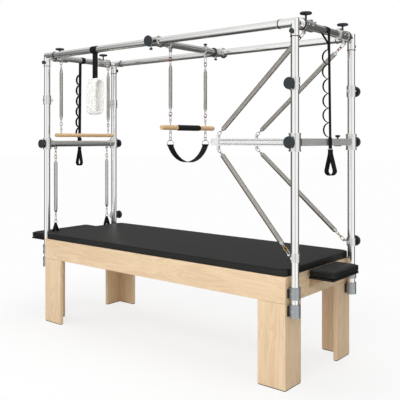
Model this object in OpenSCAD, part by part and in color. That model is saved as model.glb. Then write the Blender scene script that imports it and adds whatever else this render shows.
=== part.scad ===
// Exercise trapeze table: a padded plywood base with a polished tube frame above it,
// a push-through frame, a hanging trapeze, a roll-down bar, leg springs and straps.
// Millimetres, +Z up, +X to the push-through end, -Y to the near side, floor at Z = 0. The origin is
// at the middle of the whole table, end pads included.

/* [Base] */
// Length of the wooden base along X
base_l = 2210; // [1800:5:2500]
// Width of the wooden base along Y
base_w = 810; // [650:5:900]
// Height of the wooden base, floor to the underside of the mattress
base_h = 650; // [450:5:750]
// Height of the horizontal boards round the top of the base
rail_depth = 154; // [100:1:200]
// Length of each leg board along X
leg_a = 190; // [120:1:260]
// Length of each leg board along Y
leg_b = 175; // [120:1:260]
// Thickness of all base boards
board_t = 28; // [18:1:40]
// Thickness of the glides under the legs
glide_h = 5; // [3:1:10]
// Inset of the glides from the leg faces
glide_inset = 3; // [1:1:8]
// Thickness of the deck panel
deck_t = 18; // [12:1:30]
// Gap round the deck panel
deck_gap = 0.5; // [0.2:0.1:2]
// Width of each deck batten along X
slat_w = 60; // [30:1:100]
// Height of each deck batten
slat_h = 45; // [20:1:80]

/* [Cushions] */
// Thickness of the mattress at its edge
mat_h = 46; // [30:1:80]
// Rise of the mattress crown above its edge
mat_crown = 6; // [1:1:15]
// Overhang of the mattress past the base along Y
mat_over = 4; // [0:1:15]
// Corner radius of the mattress
mat_r = 48; // [20:1:80]
// Thickness of the end pads at their edge
pad_h = 40; // [25:1:60]
// Rise of the end pad crown
pad_crown = 5; // [1:1:12]
// Corner radius of the end pads
pad_r = 26; // [10:1:60]
// Rise of the end pad tops above the base boards
pad_top_up = 8; // [-30:1:30]
// Gap between the wooden end face and each end pad
pad_gap = 9; // [4:1:20]
// Length of the small pad at the push-through end
right_pad_l = 176; // [120:1:300]
// Width of the small pad at the push-through end
right_pad_w = 350; // [200:5:500]
// Length of the wide pad at the other end
left_pad_l = 330; // [200:1:400]
// Width of the wide pad at the other end
left_pad_w = 600; // [300:5:660]
// Thickness of the boards under the end pads
pad_board_t = 12; // [9:1:20]

/* [Tube frame] */
// Distance of the upright axes past the ends of the base
upright_out = 35; // [33:1:60]
// Distance of the uprights from the middle along Y
upright_y = 360; // [280:1:420]
// Height of the top rail axes
rail_z = 2100; // [1800:5:2300]
// Outside diameter of all frame tubes
tube_d = 48; // [38:1:60]
// Wall thickness of the frame tubes
tube_wall = 2; // [1.5:0.5:4]
// Outside diameter of the corner elbows
elbow_d = 51; // [42:1:64]
// Length of an elbow leg from the corner point
elbow_leg = 99; // [70:1:140]
// Depth of the tube sockets in the elbows
elbow_socket = 50; // [30:1:70]
// Clearance between a tube and the bore that holds it
fit_gap = 0.1; // [0.05:0.05:0.5]
// Clearance between parts that move on each other
move_gap = 0.3; // [0.2:0.05:0.6]
// Outside diameter of the cross tube couplings
coupling_d = 66; // [56:1:80]
// Length of a cross tube coupling
coupling_l = 122; // [80:1:160]
// Distance from the upright axis to the coupling disc along Y
coupling_off = 68; // [50:1:100]
// Thickness of the black gasket rings
gasket_t = 5; // [2:1:8]

/* [Sockets] */
// Outside diameter of the post sockets
socket_d = 64; // [56:1:80]
// Drop of the lower socket cup's bottom below the top of the base
cup_drop = 229; // [215:1:280]
// Height of the lower socket cup
cup_h = 75; // [50:1:100]
// Drop of the upper socket collar's bottom below the top of the base
collar_drop = 126; // [115:1:140]
// Height of the upper socket collar
collar_h = 69; // [40:1:90]
// Thickness of the black plates behind the sockets
plate_t = 3; // [2:1:6]

/* [Hook collars and knobs] */
// Drop of the middle of the upper hook collars below the rail axes
upper_collar_drop = 350; // [200:5:500]
// Height of the upper hook collars
upper_collar_h = 74; // [40:1:100]
// Rise of the middle of the lower hook collars above the base boards
lower_collar_up = 112; // [90:1:200]
// Height of the lower hook collars
lower_collar_h = 51; // [40:1:80]
// Outside diameter of the hook collars
collar_d = 60; // [54:1:70]
// Diameter of the large round knobs
knob_d = 70; // [45:1:80]
// Thickness of the large round knobs
knob_t = 20; // [12:1:30]
// Diameter of the small round knobs on the elbows
small_knob_d = 30; // [20:1:40]
// Diameter of the T-shaped top knobs
t_knob_d = 72; // [45:1:80]
// Thickness of the T-shaped top knobs
t_knob_t = 19; // [15:1:24]

/* [Push-through frame] */
// Drop of the push-through pivot below the rail axes
push_drop = 683; // [660:1:800]
// Height of the push-through sleeves
sleeve_h = 105; // [80:1:140]
// Outside diameter of the sleeves
sleeve_d = 72; // [64:1:84]
// Side length of the square crossbeam
beam_s = 44; // [30:1:60]
// Wall thickness of the crossbeam
beam_wall = 3; // [2:0.5:6]
// Distance of the T-shaped beam knob from the middle
beam_knob_y = 167; // [60:1:220]
// Thickness of the black washers at the beam ends
washer_t = 6; // [3:1:10]
// Height of the two arms
arm_h = 46; // [30:1:60]
// Thickness of the two arms
arm_t = 20; // [12:1:30]
// Distance of each arm from the middle at the beam
arm_root_y = 303; // [250:1:310]
// X of the rounded arm end's centre
arm_tip_x = 440; // [380:1:600]
// Distance of each arm from the middle at its free end
arm_tip_y = 216; // [180:1:260]
// X of the spring pins on the arms
pin_x = 484; // [440:1:600]
// Distance of the spring pins above and below the arm axis
pin_rise = 46; // [40:1:60]
// Diameter of all spring pins
pin_d = 6; // [5:1:9]
// Diameter of the push-through handle
handle_d = 30; // [24:1:40]
// X of the push-through handle
handle_x = 450; // [430:1:470]

/* [Springs and links] */
// Outside diameter of the long springs
spring_d = 34; // [24:1:40]
// Outside diameter of the short springs
short_spring_d = 28; // [20:1:34]
// Length of the tapered plug at each spring end
plug_l = 22; // [14:1:30]
// Wire diameter of the rings and links
link_wire = 5; // [3:0.5:7]
// Free play inside the links on the arms
link_play = 20; // [20:1:50]
// Gap between linked rings
link_gap = 0.3; // [0.2:0.1:1]
// Distance of the upper hooks from the middle along Y
upper_hook_y = 260; // [200:1:300]
// Drop of the upper hook pins below the cross tube axis
upper_hook_drop = 48; // [42:1:70]
// Distance of the lower hooks inward from the upright axis
lower_hook_in = 44; // [40:1:60]

/* [Trapeze] */
// X of the sliding carriage
carriage_x = 40; // [-300:1:300]
// Distance of the trapeze springs from the middle
trapeze_y = 195; // [150:1:240]
// Drop of the trapeze pins below the carriage axis
trapeze_drop = 48; // [42:1:70]
// Drop of the top of the trapeze springs below the rail axes
trapeze_top_drop = 178; // [150:1:220]
// Drop of the bottom of the trapeze springs below the rail axes
trapeze_low_drop = 437; // [430:1:445]
// Curls in each trapeze spring
trapeze_curls = 30; // [10:1:32]
// Wire diameter of the trapeze springs
trapeze_wire = 6; // [3:0.5:6.5]
// Drop of the trapeze bar axis below the rail axes
trapeze_bar_drop = 583; // [575:1:640]
// Length of the trapeze bar
trapeze_bar_l = 580; // [500:5:620]
// Diameter of the trapeze bar
trapeze_bar_d = 34; // [26:1:40]
// Length of the foam grip on the trapeze bar
grip_l = 250; // [150:5:340]
// Diameter of the foam grip
grip_d = 42; // [38:1:50]
// Width of the fabric sling
sling_w = 55; // [30:1:80]
// Thickness of the fabric sling
sling_t = 3; // [2:0.5:6]
// Drop of the lowest point of the fabric sling below the rail axes
sling_drop = 832; // [800:1:900]

/* [Other end] */
// Rise of the sliding crossbar at the wide pad end above the base boards
crossbar_up = 750; // [740:1:900]
// Distance of the leg springs from the middle
leg_y = 276; // [220:1:276]
// Distance of the roll-down springs from the middle
roll_y = 254; // [220:1:276]
// X of the roll-down hooks inward from the cross tube axis
roll_in = 43; // [40:1:60]
// Drop of the roll-down bar axis below the rail axes
roll_bar_drop = 631; // [620:1:650]
// Length of the roll-down bar
roll_bar_l = 590; // [560:5:630]
// Diameter of the roll-down bar
roll_bar_d = 30; // [24:1:36]
// Drop of the top of the roll-down springs below the rail axes
roll_top_drop = 134; // [125:1:180]
// Drop of the bottom of the roll-down springs below the rail axes
roll_low_drop = 475; // [430:1:485]
// Drop of the top of the leg springs below the crossbar axis
leg_top_drop = 155; // [140:1:200]
// Drop of the bottom of the leg springs below the crossbar axis
leg_low_drop = 537; // [500:1:545]
// Drop of the lowest point of the leg cuffs below the crossbar axis
cuff_drop = 732; // [715:1:733]
// Height of the crossbar sleeves
crossbar_sleeve_h = 90; // [60:1:140]
// Outside diameter of the crossbar sleeves
crossbar_sleeve_d = 66; // [60:1:80]

/* [Straps] */
// Thickness of the webbing
web_t = 2.5; // [1.5:0.5:4]
// Width of the safety strap webbing
web_w = 30; // [20:1:50]
// Outer radius of each strap scallop
scallop_r = 46; // [30:1:50]
// Scallops along each safety strap
scallops = 6; // [3:1:6]
// Length of the safety straps from the tube axis to the scallops' end
strap_run = 655; // [560:1:660]
// Lean of the safety straps away from the crossbeam in degrees
strap_lean = 0.8; // [0.5:0.1:2]
// Lowest point of the safety strap handles below the tube axis
strap_low = 888; // [800:1:900]
// X of the fleece loop on the near long rail
fleece_x = -564; // [-700:1:-540]
// Width of the webbing that carries the fleece loop
fleece_web_w = 50; // [30:1:70]
// Length of that webbing below the rail
fleece_drop = 190; // [120:1:240]
// Height of the fleece loop
fleece_h = 265; // [200:1:320]
// Depth of the fleece loop along Y
fleece_d = 90; // [60:1:120]
// Width of the fleece loop along X
fleece_w = 100; // [60:1:120]
// Thickness of the fleece
fleece_t = 14; // [8:1:22]

/* [Hidden] */
$fn = 64;
eps = 0.01;

mid_x = (left_pad_l - right_pad_l) / 2;
base_x = base_l / 2;
base_y = base_w / 2;
upright_x = base_x + upright_out;
mat_z = base_h;
pad_z = base_h + pad_top_up - pad_h;
cup_z = base_h - cup_drop;
collar_z = base_h - collar_drop;
upper_collar_z = rail_z - upper_collar_drop;
lower_collar_z = base_h + lower_collar_up;
push_z = rail_z - push_drop;
trapeze_top_z = rail_z - trapeze_top_drop;
trapeze_low_z = rail_z - trapeze_low_drop;
trapeze_bar_z = rail_z - trapeze_bar_drop;
sling_low_z = rail_z - sling_drop;
crossbar_z = base_h + crossbar_up;
roll_bar_z = rail_z - roll_bar_drop;
roll_top_z = rail_z - roll_top_drop;
roll_low_z = rail_z - roll_low_drop;
leg_spring_top_z = crossbar_z - leg_top_drop;
leg_spring_low_z = crossbar_z - leg_low_drop;
cuff_low_z = crossbar_z - cuff_drop;
right_pad_x = base_x + pad_gap;
left_pad_x = -base_x - pad_gap - left_pad_l;
elbow_bottom = rail_z - 78;
coupling_in = upright_y - coupling_off;
disc_t = 8;
ring_in = coupling_in - gasket_t;
coupling_end = ring_in - coupling_l;
tee_knob_y = 235;
arm_root_x = upright_x - beam_s / 2;
arm_slope = atan2(arm_root_y - arm_tip_y, arm_root_x - arm_tip_x);
pin_y = arm_tip_y + (pin_x - arm_tip_x) * tan(arm_slope);
handle_y = arm_tip_y + (handle_x - arm_tip_x) * tan(arm_slope);
beam_y = upright_y - sleeve_d / 2 - washer_t - 2 * move_gap;
upper_pin = [upright_x, upper_hook_y, rail_z - upper_hook_drop];
lower_pin = [upright_x - lower_hook_in, upright_y - 15, lower_collar_z + 8];
upper_arm_pin = [pin_x, pin_y, push_z + pin_rise];
lower_arm_pin = [pin_x, pin_y, push_z - pin_rise];
ear_t = 3;
ear_gap = 14;
carriage_socket = 296;
trapeze_pin_z = rail_z - trapeze_drop;
bolt_d = 8;
eye_w = 24;
sling_pivot_z = trapeze_bar_z - trapeze_bar_d / 2 - eye_w + link_wire / 2;
roll_x = -upright_x + roll_in;
roll_pin_z = rail_z - 38;
leg_pin_z = crossbar_z - tube_d / 2 - 14;
cuff_w = 38;
strap_r = tube_d / 2 + move_gap;

function unit(v) = v / norm(v);
function starts(s, l, i = 0) = i >= len(l) ? [] :
    concat([s], starts(i + 1 < len(l) ? s + l[i][0] - l[i][2] - l[i + 1][2] - link_gap : s, l, i + 1));
function chain_end(s, l) = starts(s, l)[len(l) - 1] + l[len(l) - 1][0];
function first_start(wire) = -(pin_d / 2 + link_gap + wire);

// Places children with their +Z along the line from p to q, their X in the vertical plane through it.
module aim(p, q) {
    v = q - p;
    translate(p) rotate([0, acos(v[2] / norm(v)), atan2(v[1], v[0])]) children();
}

// Cylinder between two points on a line along Y.
module bar_y(x, y0, y1, z, d) {
    translate([x, y0, z]) rotate([-90, 0, 0]) cylinder(d = d, h = y1 - y0);
}

// Cylinder between two points on a line along X.
module bar_x(x0, x1, y, z, d) {
    translate([x0, y, z]) rotate([0, 90, 0]) cylinder(d = d, h = x1 - x0);
}

// From the middle of the base to the middle of the whole table along X.
module at_mid() translate([mid_x, 0, 0]) children();

// The same thing on the near and the far side.
module sides() {
    children();
    mirror([0, 1, 0]) children();
}

// The same thing at both ends.
module ends() {
    children();
    mirror([1, 0, 0]) children();
}

// One closed oval link or round ring, standing on its outer end at Z = 0, in the XZ plane.
module link(l, w, wire) {
    r = (w - wire) / 2;
    if (l - w < eps)
        translate([0, 0, w / 2]) rotate([90, 0, 0]) rotate_extrude($fn = 32) translate([r, 0])
            circle(d = wire, $fn = 16);
    else {
        translate([0, 0, w / 2]) rotate([-90, 0, 0])
            rotate_extrude(angle = 180, $fn = 32) translate([r, 0]) circle(d = wire, $fn = 16);
        translate([0, 0, l - w / 2]) rotate([90, 0, 0])
            rotate_extrude(angle = 180, $fn = 32) translate([r, 0]) circle(d = wire, $fn = 16);
        for (s = [-1, 1]) translate([s * r, 0, w / 2 - eps]) cylinder(d = wire, h = l - w + 2 * eps,
            $fn = 16);
    }
}

// D-shaped ring with its round side at Z = 0 and its straight bar away from it, in the XZ plane.
module d_ring(w, wire) {
    r = (w - wire) / 2;
    translate([0, 0, w / 2]) {
        rotate([-90, 0, 0]) rotate_extrude(angle = 180, $fn = 48) translate([r, 0]) circle(d = wire,
            $fn = 16);
        for (s = [-1, 1]) translate([s * r, 0, -eps]) cylinder(d = wire, h = 6, $fn = 16);
        for (s = [-1, 1]) translate([s * r, 0, 6 - eps]) sphere(d = wire, $fn = 16);
        translate([-r, 0, 6 - eps]) rotate([0, 90, 0]) cylinder(d = wire, h = 2 * r, $fn = 16);
    }
}

// Interlocked links from start s along +Z; each is [length, width, wire, quarter turns].
module chain(s, l) {
    z = starts(s, l);
    for (i = [0 : len(l) - 1]) translate([0, 0, z[i]]) rotate([0, 0, 90 * l[i][3]]) link(l[i][0],
        l[i][1], l[i][2]);
}

// Tapered spring end from Z = 0, wide end up, for a coil of diameter d.
module plug(d, l) {
    rotate_extrude() polygon([[0, 0], [link_wire, 0], [d / 2 - 1, l - 4], [d / 2 - 1, l], [0, l]]);
}

// Plain spring envelope between z0 and z1 on the Z axis.
module envelope(d, z0, z1) {
    translate([0, 0, z0]) cylinder(d = d, h = z1 - z0);
}

// Points of a rounded rectangle of l by w, corners r, n points a corner, at height z.
function outline(l, w, r, n, z) = [for (c = [0 : 3], i = [0 : n - 1])
    let (a = 90 * c + 90 * i / (n - 1), sx = (c == 0 || c == 3) ? 1 : -1, sy = c < 2 ? 1 : -1)
    [sx * (l / 2 - r) + r * cos(a), sy * (w / 2 - r) + r * sin(a), z]];

// Soft cushion of l by w: sides drawn in at the bottom and top seams, a crown on top. Bottom at Z = 0.
module cushion(l, w, h, r, crown, n) {
    levels = [[5, 0], [1.5, 0.08], [0, 0.24], [0.4, 0.5], [0, 0.72], [2.5, 0.9], [7, 1]];
    half = min(l, w) / 2;
    top = [[0.14 * half, 0.5], [0.32 * half, 0.82], [0.62 * half, 1]];
    rows = concat(
        [for (v = levels) outline(l - 2 * v[0], w - 2 * v[0], r - v[0], n, h * v[1])],
        [for (v = top) outline(l - 2 * v[0], w - 2 * v[0], max(r - v[0] * 0.6, r * 0.25), n,
            h + crown * v[1])]);
    m = 4 * n;
    k = len(rows);
    pts = concat([for (row = rows) each row], [[0, 0, 0], [0, 0, h + crown]]);
    polyhedron(points = pts, faces = concat(
        [for (j = [0 : k - 2], i = [0 : m - 1]) [j * m + i, (j + 1) * m + i, (j + 1) * m + (i + 1) % m]],
        [for (j = [0 : k - 2], i = [0 : m - 1]) [j * m + i, (j + 1) * m + (i + 1) % m, j * m + (i + 1) % m]],
        [for (i = [0 : m - 1]) [k * m, i, (i + 1) % m]],
        [for (i = [0 : m - 1]) [k * m + 1, (k - 1) * m + (i + 1) % m, (k - 1) * m + i]]), convexity = 4);
}

// Centre line of a wound spring from z0 to z1, with a straight end one wire long at each end.
function wind(r, wire, curls, z0, z1) =
    let (rise = z1 - z0 - wire, n = curls * 8, t = wire)
    concat([[r, -t, z0 + wire / 2]],
        [for (i = [0 : n]) [r * cos(360 * i / 8), r * sin(360 * i / 8), z0 + wire / 2 + rise * i / n]],
        [[r, t, z1 - wire / 2]]);
function least_gap(p, wire) = min([for (i = [0 : len(p) - 1]) for (j = [i + 6 : 1 : min(i + 11, len(p) - 1)])
    norm(p[i] - p[j])]) - wire;

// One unbroken helical tube on the centre line p.
module wound(p, wire) {
    m = 6;
    n = len(p);
    pts = [for (i = [0 : n - 1]) let (
            t = unit(p[min(i + 1, n - 1)] - p[max(i - 1, 0)]),
            e = [p[i][0], p[i][1], 0],
            o = unit(e - t * (e * t)),
            b = cross(t, o))
        for (j = [0 : m - 1]) p[i] + (o * cos(60 * j) + b * sin(60 * j)) * wire / 2];
    polyhedron(points = pts, faces = concat(
        [[for (j = [0 : m - 1]) j]], [[for (j = [m - 1 : -1 : 0]) (n - 1) * m + j]],
        [for (i = [0 : n - 2], j = [0 : m - 1]) [i * m + j, (i + 1) * m + j, (i + 1) * m + (j + 1) % m]],
        [for (i = [0 : n - 2], j = [0 : m - 1]) [i * m + j, (i + 1) * m + (j + 1) % m, i * m + (j + 1) % m]]),
        convexity = 10);
}
trapeze_wind = wind((short_spring_d - trapeze_wire) / 2, trapeze_wire, trapeze_curls, trapeze_low_z,
    trapeze_top_z);
echo(least_self_gap_mm = least_gap(trapeze_wind, trapeze_wire));

// Round knob on a stem along +Z from Z = 0: stem length s, disc diameter d, disc thickness t.
module knob(s, d, t) {
    cylinder(d = 14, h = s + 1);
    translate([0, 0, s]) rotate_extrude()
        polygon([[0, 0], [d / 2 - 6, 0], [d / 2 - 1.5, 4], [d / 2, t / 2], [d / 2 - 1.5, t - 3],
            [d / 2 - 6, t], [0, t]]);
}

// Round end face of a T-shaped knob and its stem along +Z, from the surface at Z = 0.
module tee_knob(s, d, t) {
    cylinder(d = 12, h = s + 1);
    translate([0, 0, s]) rotate_extrude()
        polygon([[0, 0], [10, 0], [d / 2 - 3, t / 2 - 4], [d / 2, t / 2], [d / 2, t - 5], [d / 2 - 4, t - 1],
            [0, t]]);
}

// Two ears and a pin along Y, the pin at the origin; the ears run up to the height up.
module ears(up, w) {
    for (s = [-1, 1]) translate([-w / 2, s * (ear_gap + ear_t) / 2 - ear_t / 2, -6]) cube([w, ear_t, up + 6]);
    bar_y(0, -(ear_gap + 2 * ear_t) / 2, (ear_gap + 2 * ear_t) / 2, 0, pin_d);
}

module base_rails() color([0.86, 0.72, 0.52]) at_mid() difference() {
    translate([-base_x, -base_y, base_h - rail_depth]) cube([base_l, base_w, rail_depth]);
    translate([-base_x + board_t, -base_y + board_t, base_h - rail_depth - 1])
        cube([base_l - 2 * board_t, base_w - 2 * board_t, rail_depth + 2]);
}

module leg_posts() color([0.86, 0.72, 0.52]) at_mid() ends() sides() difference() {
    translate([base_x - leg_a, -base_y, glide_h]) cube([leg_a, leg_b, base_h - rail_depth - glide_h]);
    translate([base_x - leg_a - 1, -base_y + board_t, glide_h - 1])
        cube([leg_a + 1 - board_t, leg_b + 1, base_h - rail_depth + 2]);
}

module leg_glides() color([0.06, 0.06, 0.07]) at_mid() ends() sides() difference() {
    translate([base_x - leg_a + glide_inset, -base_y + glide_inset, 0])
        cube([leg_a - 2 * glide_inset, leg_b - 2 * glide_inset, glide_h]);
    translate([base_x - leg_a - 1, -base_y + board_t - glide_inset, -1])
        cube([leg_a + 1 - board_t + glide_inset, leg_b + 1, glide_h + 2]);
}

module deck_panel() color([0.8, 0.68, 0.5]) at_mid() {
    inner_x = base_x - board_t - deck_gap;
    inner_y = base_y - board_t - deck_gap;
    translate([-inner_x, -inner_y, base_h - deck_t]) cube([2 * inner_x, 2 * inner_y, deck_t]);
    for (x = [-base_l / 4, 0, base_l / 4])
        translate([x - slat_w / 2, -inner_y, base_h - deck_t - slat_h]) cube([slat_w, 2 * inner_y,
            slat_h + 1]);
}

module mattress() color([0.13, 0.14, 0.14]) at_mid() translate([0, 0, mat_z])
    cushion(base_l, base_w + 2 * mat_over, mat_h, mat_r, mat_crown, 11);

module right_pad() color([0.1, 0.1, 0.1]) at_mid() translate([right_pad_x + right_pad_l / 2, 0, pad_z])
    cushion(right_pad_l, right_pad_w, pad_h, pad_r, pad_crown, 8);

module left_pad() color([0.1, 0.1, 0.1]) at_mid() translate([left_pad_x + left_pad_l / 2, 0, pad_z])
    cushion(left_pad_l, left_pad_w, pad_h, pad_r, pad_crown, 8);

module pad_boards() color([0.8, 0.68, 0.5]) at_mid() {
    translate([right_pad_x + 8, -right_pad_w / 2 + 8, pad_z - pad_board_t])
        cube([right_pad_l - 16, right_pad_w - 16, pad_board_t]);
    translate([left_pad_x + 8, -left_pad_w / 2 + 8, pad_z - pad_board_t])
        cube([left_pad_l - 16, left_pad_w - 16, pad_board_t]);
}

// Black angle brackets between the wooden end faces and the pad boards.
module pad_brackets() color([0.05, 0.05, 0.05]) at_mid() {
    z = pad_z - pad_board_t;
    for (s = [[base_x, right_pad_l * 0.75, right_pad_w / 2 - 55], [-base_x, left_pad_l * 0.75,
        left_pad_w / 2 - 70]])
        for (y = [-s[2], s[2]]) {
            d = sign(s[0]);
            translate([d > 0 ? s[0] : s[0] - 5, y - 20, z - 62]) cube([5, 40, 62]);
            translate([d > 0 ? s[0] : s[0] - s[1], y - 20, z - 5]) cube([s[1], 40, 5]);
            translate([0, y + 3, 0]) rotate([90, 0, 0]) linear_extrude(6)
                polygon([[s[0] + d * 4, z - 4], [s[0] + d * s[1] * 0.8, z - 4], [s[0] + d * 4, z - 56]]);
        }
}

module post_sockets() color([0.5, 0.53, 0.56]) at_mid() ends() sides() translate([upright_x, -upright_y, 0]) {
    difference() {
        union() {
            translate([0, 0, collar_z]) cylinder(d = socket_d, h = collar_h);
            translate([0, 0, collar_z + collar_h - 8]) cylinder(d = socket_d + 4, h = 5);
            translate([-socket_d / 2, -14, collar_z + 10]) cube([socket_d / 2, 28, collar_h - 20]);
        }
        translate([0, 0, collar_z - 1]) cylinder(d = tube_d + 2 * fit_gap, h = collar_h + 2);
    }
    difference() {
        union() {
            translate([0, 0, cup_z]) cylinder(d = socket_d, h = cup_h);
            translate([-socket_d / 2, -14, cup_z + 10]) cube([socket_d / 2, 28, cup_h - 20]);
            translate([0, 0, cup_z - 8]) cylinder(d = 12, h = 9);
        }
        translate([0, 0, cup_z + 8]) cylinder(d = tube_d + 2 * fit_gap, h = cup_h);
    }
}

module socket_plates() color([0.05, 0.05, 0.06]) at_mid() ends() sides() for (v = [[collar_z, collar_h],
    [cup_z, cup_h]])
    translate([base_x, -upright_y - 26, v[0] + 4]) cube([plate_t, 52, v[1] - 16]);

module uprights() color([0.8, 0.8, 0.8]) at_mid() ends() sides() translate([upright_x, -upright_y, 0])
    difference() {
    translate([0, 0, cup_z + 8]) cylinder(d = tube_d, h = elbow_bottom + elbow_socket - cup_z - 8);
    translate([0, 0, cup_z + 7]) cylinder(d = tube_d - 2 * tube_wall,
        h = elbow_bottom + elbow_socket - cup_z - 6);
}

// Mitred corner pieces that hold an upright and a long rail, with a neck and disc towards the cross tube.
module corner_elbows() color([0.82, 0.82, 0.82]) at_mid() ends() sides() difference() {
    union() {
        translate([upright_x, -upright_y, elbow_bottom]) cylinder(d = elbow_d, h = rail_z - elbow_bottom);
        bar_x(upright_x - elbow_leg, upright_x, -upright_y, rail_z, elbow_d);
        intersection() {
            translate([upright_x, -upright_y, elbow_bottom]) cylinder(d = elbow_d, h = 150);
            bar_x(upright_x - elbow_leg, upright_x + 50, -upright_y, rail_z, elbow_d);
        }
        bar_y(upright_x, -upright_y, -coupling_in - disc_t + 1, rail_z, 40);
        bar_y(upright_x, -coupling_in - disc_t, -coupling_in, rail_z, coupling_d);
        bar_y(upright_x + 25, -coupling_in - disc_t - 3, -coupling_in - disc_t + 1, rail_z, 9);
        translate([upright_x - elbow_leg + 12, -upright_y, rail_z]) cylinder(d = 9, h = elbow_d / 2 + 7);
    }
    translate([upright_x, -upright_y, elbow_bottom - 1]) cylinder(d = tube_d + 2 * fit_gap,
        h = elbow_socket + 1);
    bar_x(upright_x - elbow_leg - 1, upright_x - elbow_leg + elbow_socket, -upright_y, rail_z,
        tube_d + 2 * fit_gap);
}

module long_rails() color([0.8, 0.8, 0.8]) at_mid() sides() difference() {
    x = upright_x - elbow_leg + elbow_socket;
    bar_x(-x, x, -upright_y, rail_z, tube_d);
    bar_x(-x - 1, x + 1, -upright_y, rail_z, tube_d - 2 * tube_wall);
}

module cross_tubes() color([0.62, 0.62, 0.6]) at_mid() ends() difference() {
    bar_y(upright_x, -coupling_end - 40, coupling_end + 40, rail_z, tube_d);
    bar_y(upright_x, -coupling_end - 41, coupling_end + 41, rail_z, tube_d - 2 * tube_wall);
}

// Grey clamps between the corner discs and the cross tubes, with the ears of the hanging hooks.
module cross_couplings() color([0.55, 0.56, 0.56]) at_mid() {
    ends() sides() difference() {
        union() {
            bar_y(upright_x, -ring_in, -coupling_end, rail_z, coupling_d);
            bar_y(upright_x, -ring_in + 8, -ring_in + 22, rail_z, coupling_d + 5);
            translate([upright_x - 12, -coupling_end - 34, rail_z]) cube([24, 26, coupling_d / 2 + 6]);
            translate([upright_x + 14, -coupling_end - 14, rail_z + 20]) rotate([0, 90, 0])
                cylinder(d = 10, h = 22);
        }
        bar_y(upright_x, -coupling_end - 40, -coupling_end + 1, rail_z, tube_d + 2 * fit_gap);
    }
    sides() translate([upper_pin[0], -upper_pin[1], upper_pin[2]]) ears(20, 14);
    sides() translate([roll_x, -roll_y, roll_pin_z]) ears(20, 14);
    sides() translate([-upright_x + 10, -roll_y - 10, roll_pin_z + 14]) cube([roll_in - 3, 20, 9]);
}

module gasket_rings() color([0.03, 0.03, 0.03]) at_mid() ends() sides() {
    bar_y(upright_x, -coupling_in, -ring_in, rail_z, coupling_d + 6);
    difference() {
        translate([upright_x, -upright_y, elbow_bottom - 4]) cylinder(d = elbow_d + 5, h = 4);
        translate([upright_x, -upright_y, elbow_bottom - 5]) cylinder(d = tube_d + 2 * fit_gap, h = 6);
    }
    difference() {
        bar_x(upright_x - elbow_leg - 4, upright_x - elbow_leg, -upright_y, rail_z, elbow_d + 5);
        bar_x(upright_x - elbow_leg - 5, upright_x - elbow_leg + 1, -upright_y, rail_z, tube_d + 2 * fit_gap);
    }
}

// Sliding hook collars on the uprights; the near left upright has no lower one.
module hook_collars() color([0.6, 0.61, 0.62]) at_mid() for (c = [[1, -1, 0], [1, 1, 0], [-1, -1, 0],
    [-1, 1, 0], [1, -1, 1],
        [1, 1, 1], [-1, 1, 1]]) {
    z = c[2] == 0 ? upper_collar_z : lower_collar_z;
    h = c[2] == 0 ? upper_collar_h : lower_collar_h;
    x = c[0] * upright_x;
    y = c[1] * upright_y;
    difference() {
        union() {
            translate([x, y, z - h / 2]) cylinder(d = collar_d, h = h);
            bar_y(x, y < 0 ? y - collar_d / 2 - 8 : y, y < 0 ? y : y + collar_d / 2 + 8, z, 16);
            bar_y(x, y < 0 ? y : y - collar_d / 2 - 8, y < 0 ? y + collar_d / 2 + 8 : y, z, 9);
            if (c[0] > 0 && c[2] == 1) for (s = [-1, 1])
                translate([lower_pin[0], sign(y) * lower_pin[1] + s * (ear_gap + ear_t) / 2 - ear_t / 2,
                    lower_pin[2] - 6])
                    cube([lower_hook_in - 14, ear_t, 10]);
        }
        translate([x, y, z - h]) cylinder(d = tube_d + 2 * fit_gap, h = 2 * h);
    }
    translate([x, y - sign(y) * (collar_d / 2 + 16), z]) rotate([0, 90, 0]) rotate_extrude()
        translate([9, 0]) circle(d = 5, $fn = 16);
    if (c[0] > 0 && c[2] == 1)
        translate([lower_pin[0], sign(y) * lower_pin[1], lower_pin[2]]) ears(4, 16);
}

// Dark round knobs on the hook collars and on the corner elbows.
module clamp_knobs() color([0.12, 0.14, 0.16]) at_mid() {
    for (c = [[1, -1, upper_collar_z], [1, 1, upper_collar_z], [1, 1, lower_collar_z], [-1, 1,
        lower_collar_z]])
        translate([c[0] * upright_x, c[1] * (upright_y + collar_d / 2 + 8), c[2]]) rotate([-90 * c[1], 0, 0])
            knob(14, knob_d, knob_t);
    ends() sides() translate([upright_x, -upright_y - elbow_d / 2, elbow_bottom + 26]) rotate([90, 0, 0])
        knob(6, small_knob_d, 14);
}

// T-shaped knobs on top of the four couplings.
module cross_knobs() color([0.1, 0.12, 0.14]) at_mid() ends() sides()
    translate([upright_x, -tee_knob_y, rail_z + coupling_d / 2]) tee_knob(26, t_knob_d, t_knob_t);

module push_sleeves() color([0.72, 0.72, 0.72]) at_mid() sides() difference() {
    union() {
        translate([upright_x, -upright_y, push_z - sleeve_h / 2]) cylinder(d = sleeve_d - 4, h = sleeve_h);
        for (z = [push_z - sleeve_h / 2, push_z + sleeve_h / 2 - 8])
            translate([upright_x, -upright_y, z]) cylinder(d = sleeve_d, h = 8);
        bar_y(upright_x, -upright_y, -upright_y + sleeve_d / 2, push_z, 40);
        bar_y(upright_x, -upright_y - sleeve_d / 2 - 2, -upright_y, push_z, 24);
    }
    translate([upright_x, -upright_y, push_z - sleeve_h]) cylinder(d = tube_d + 2 * fit_gap,
        h = 2 * sleeve_h);
}

module push_knob_near() color([0.12, 0.14, 0.16]) at_mid()
    translate([upright_x, -upright_y - sleeve_d / 2 - 2 - move_gap, push_z]) rotate([90, 0, 0]) knob(14,
        knob_d, knob_t + 2);

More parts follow.
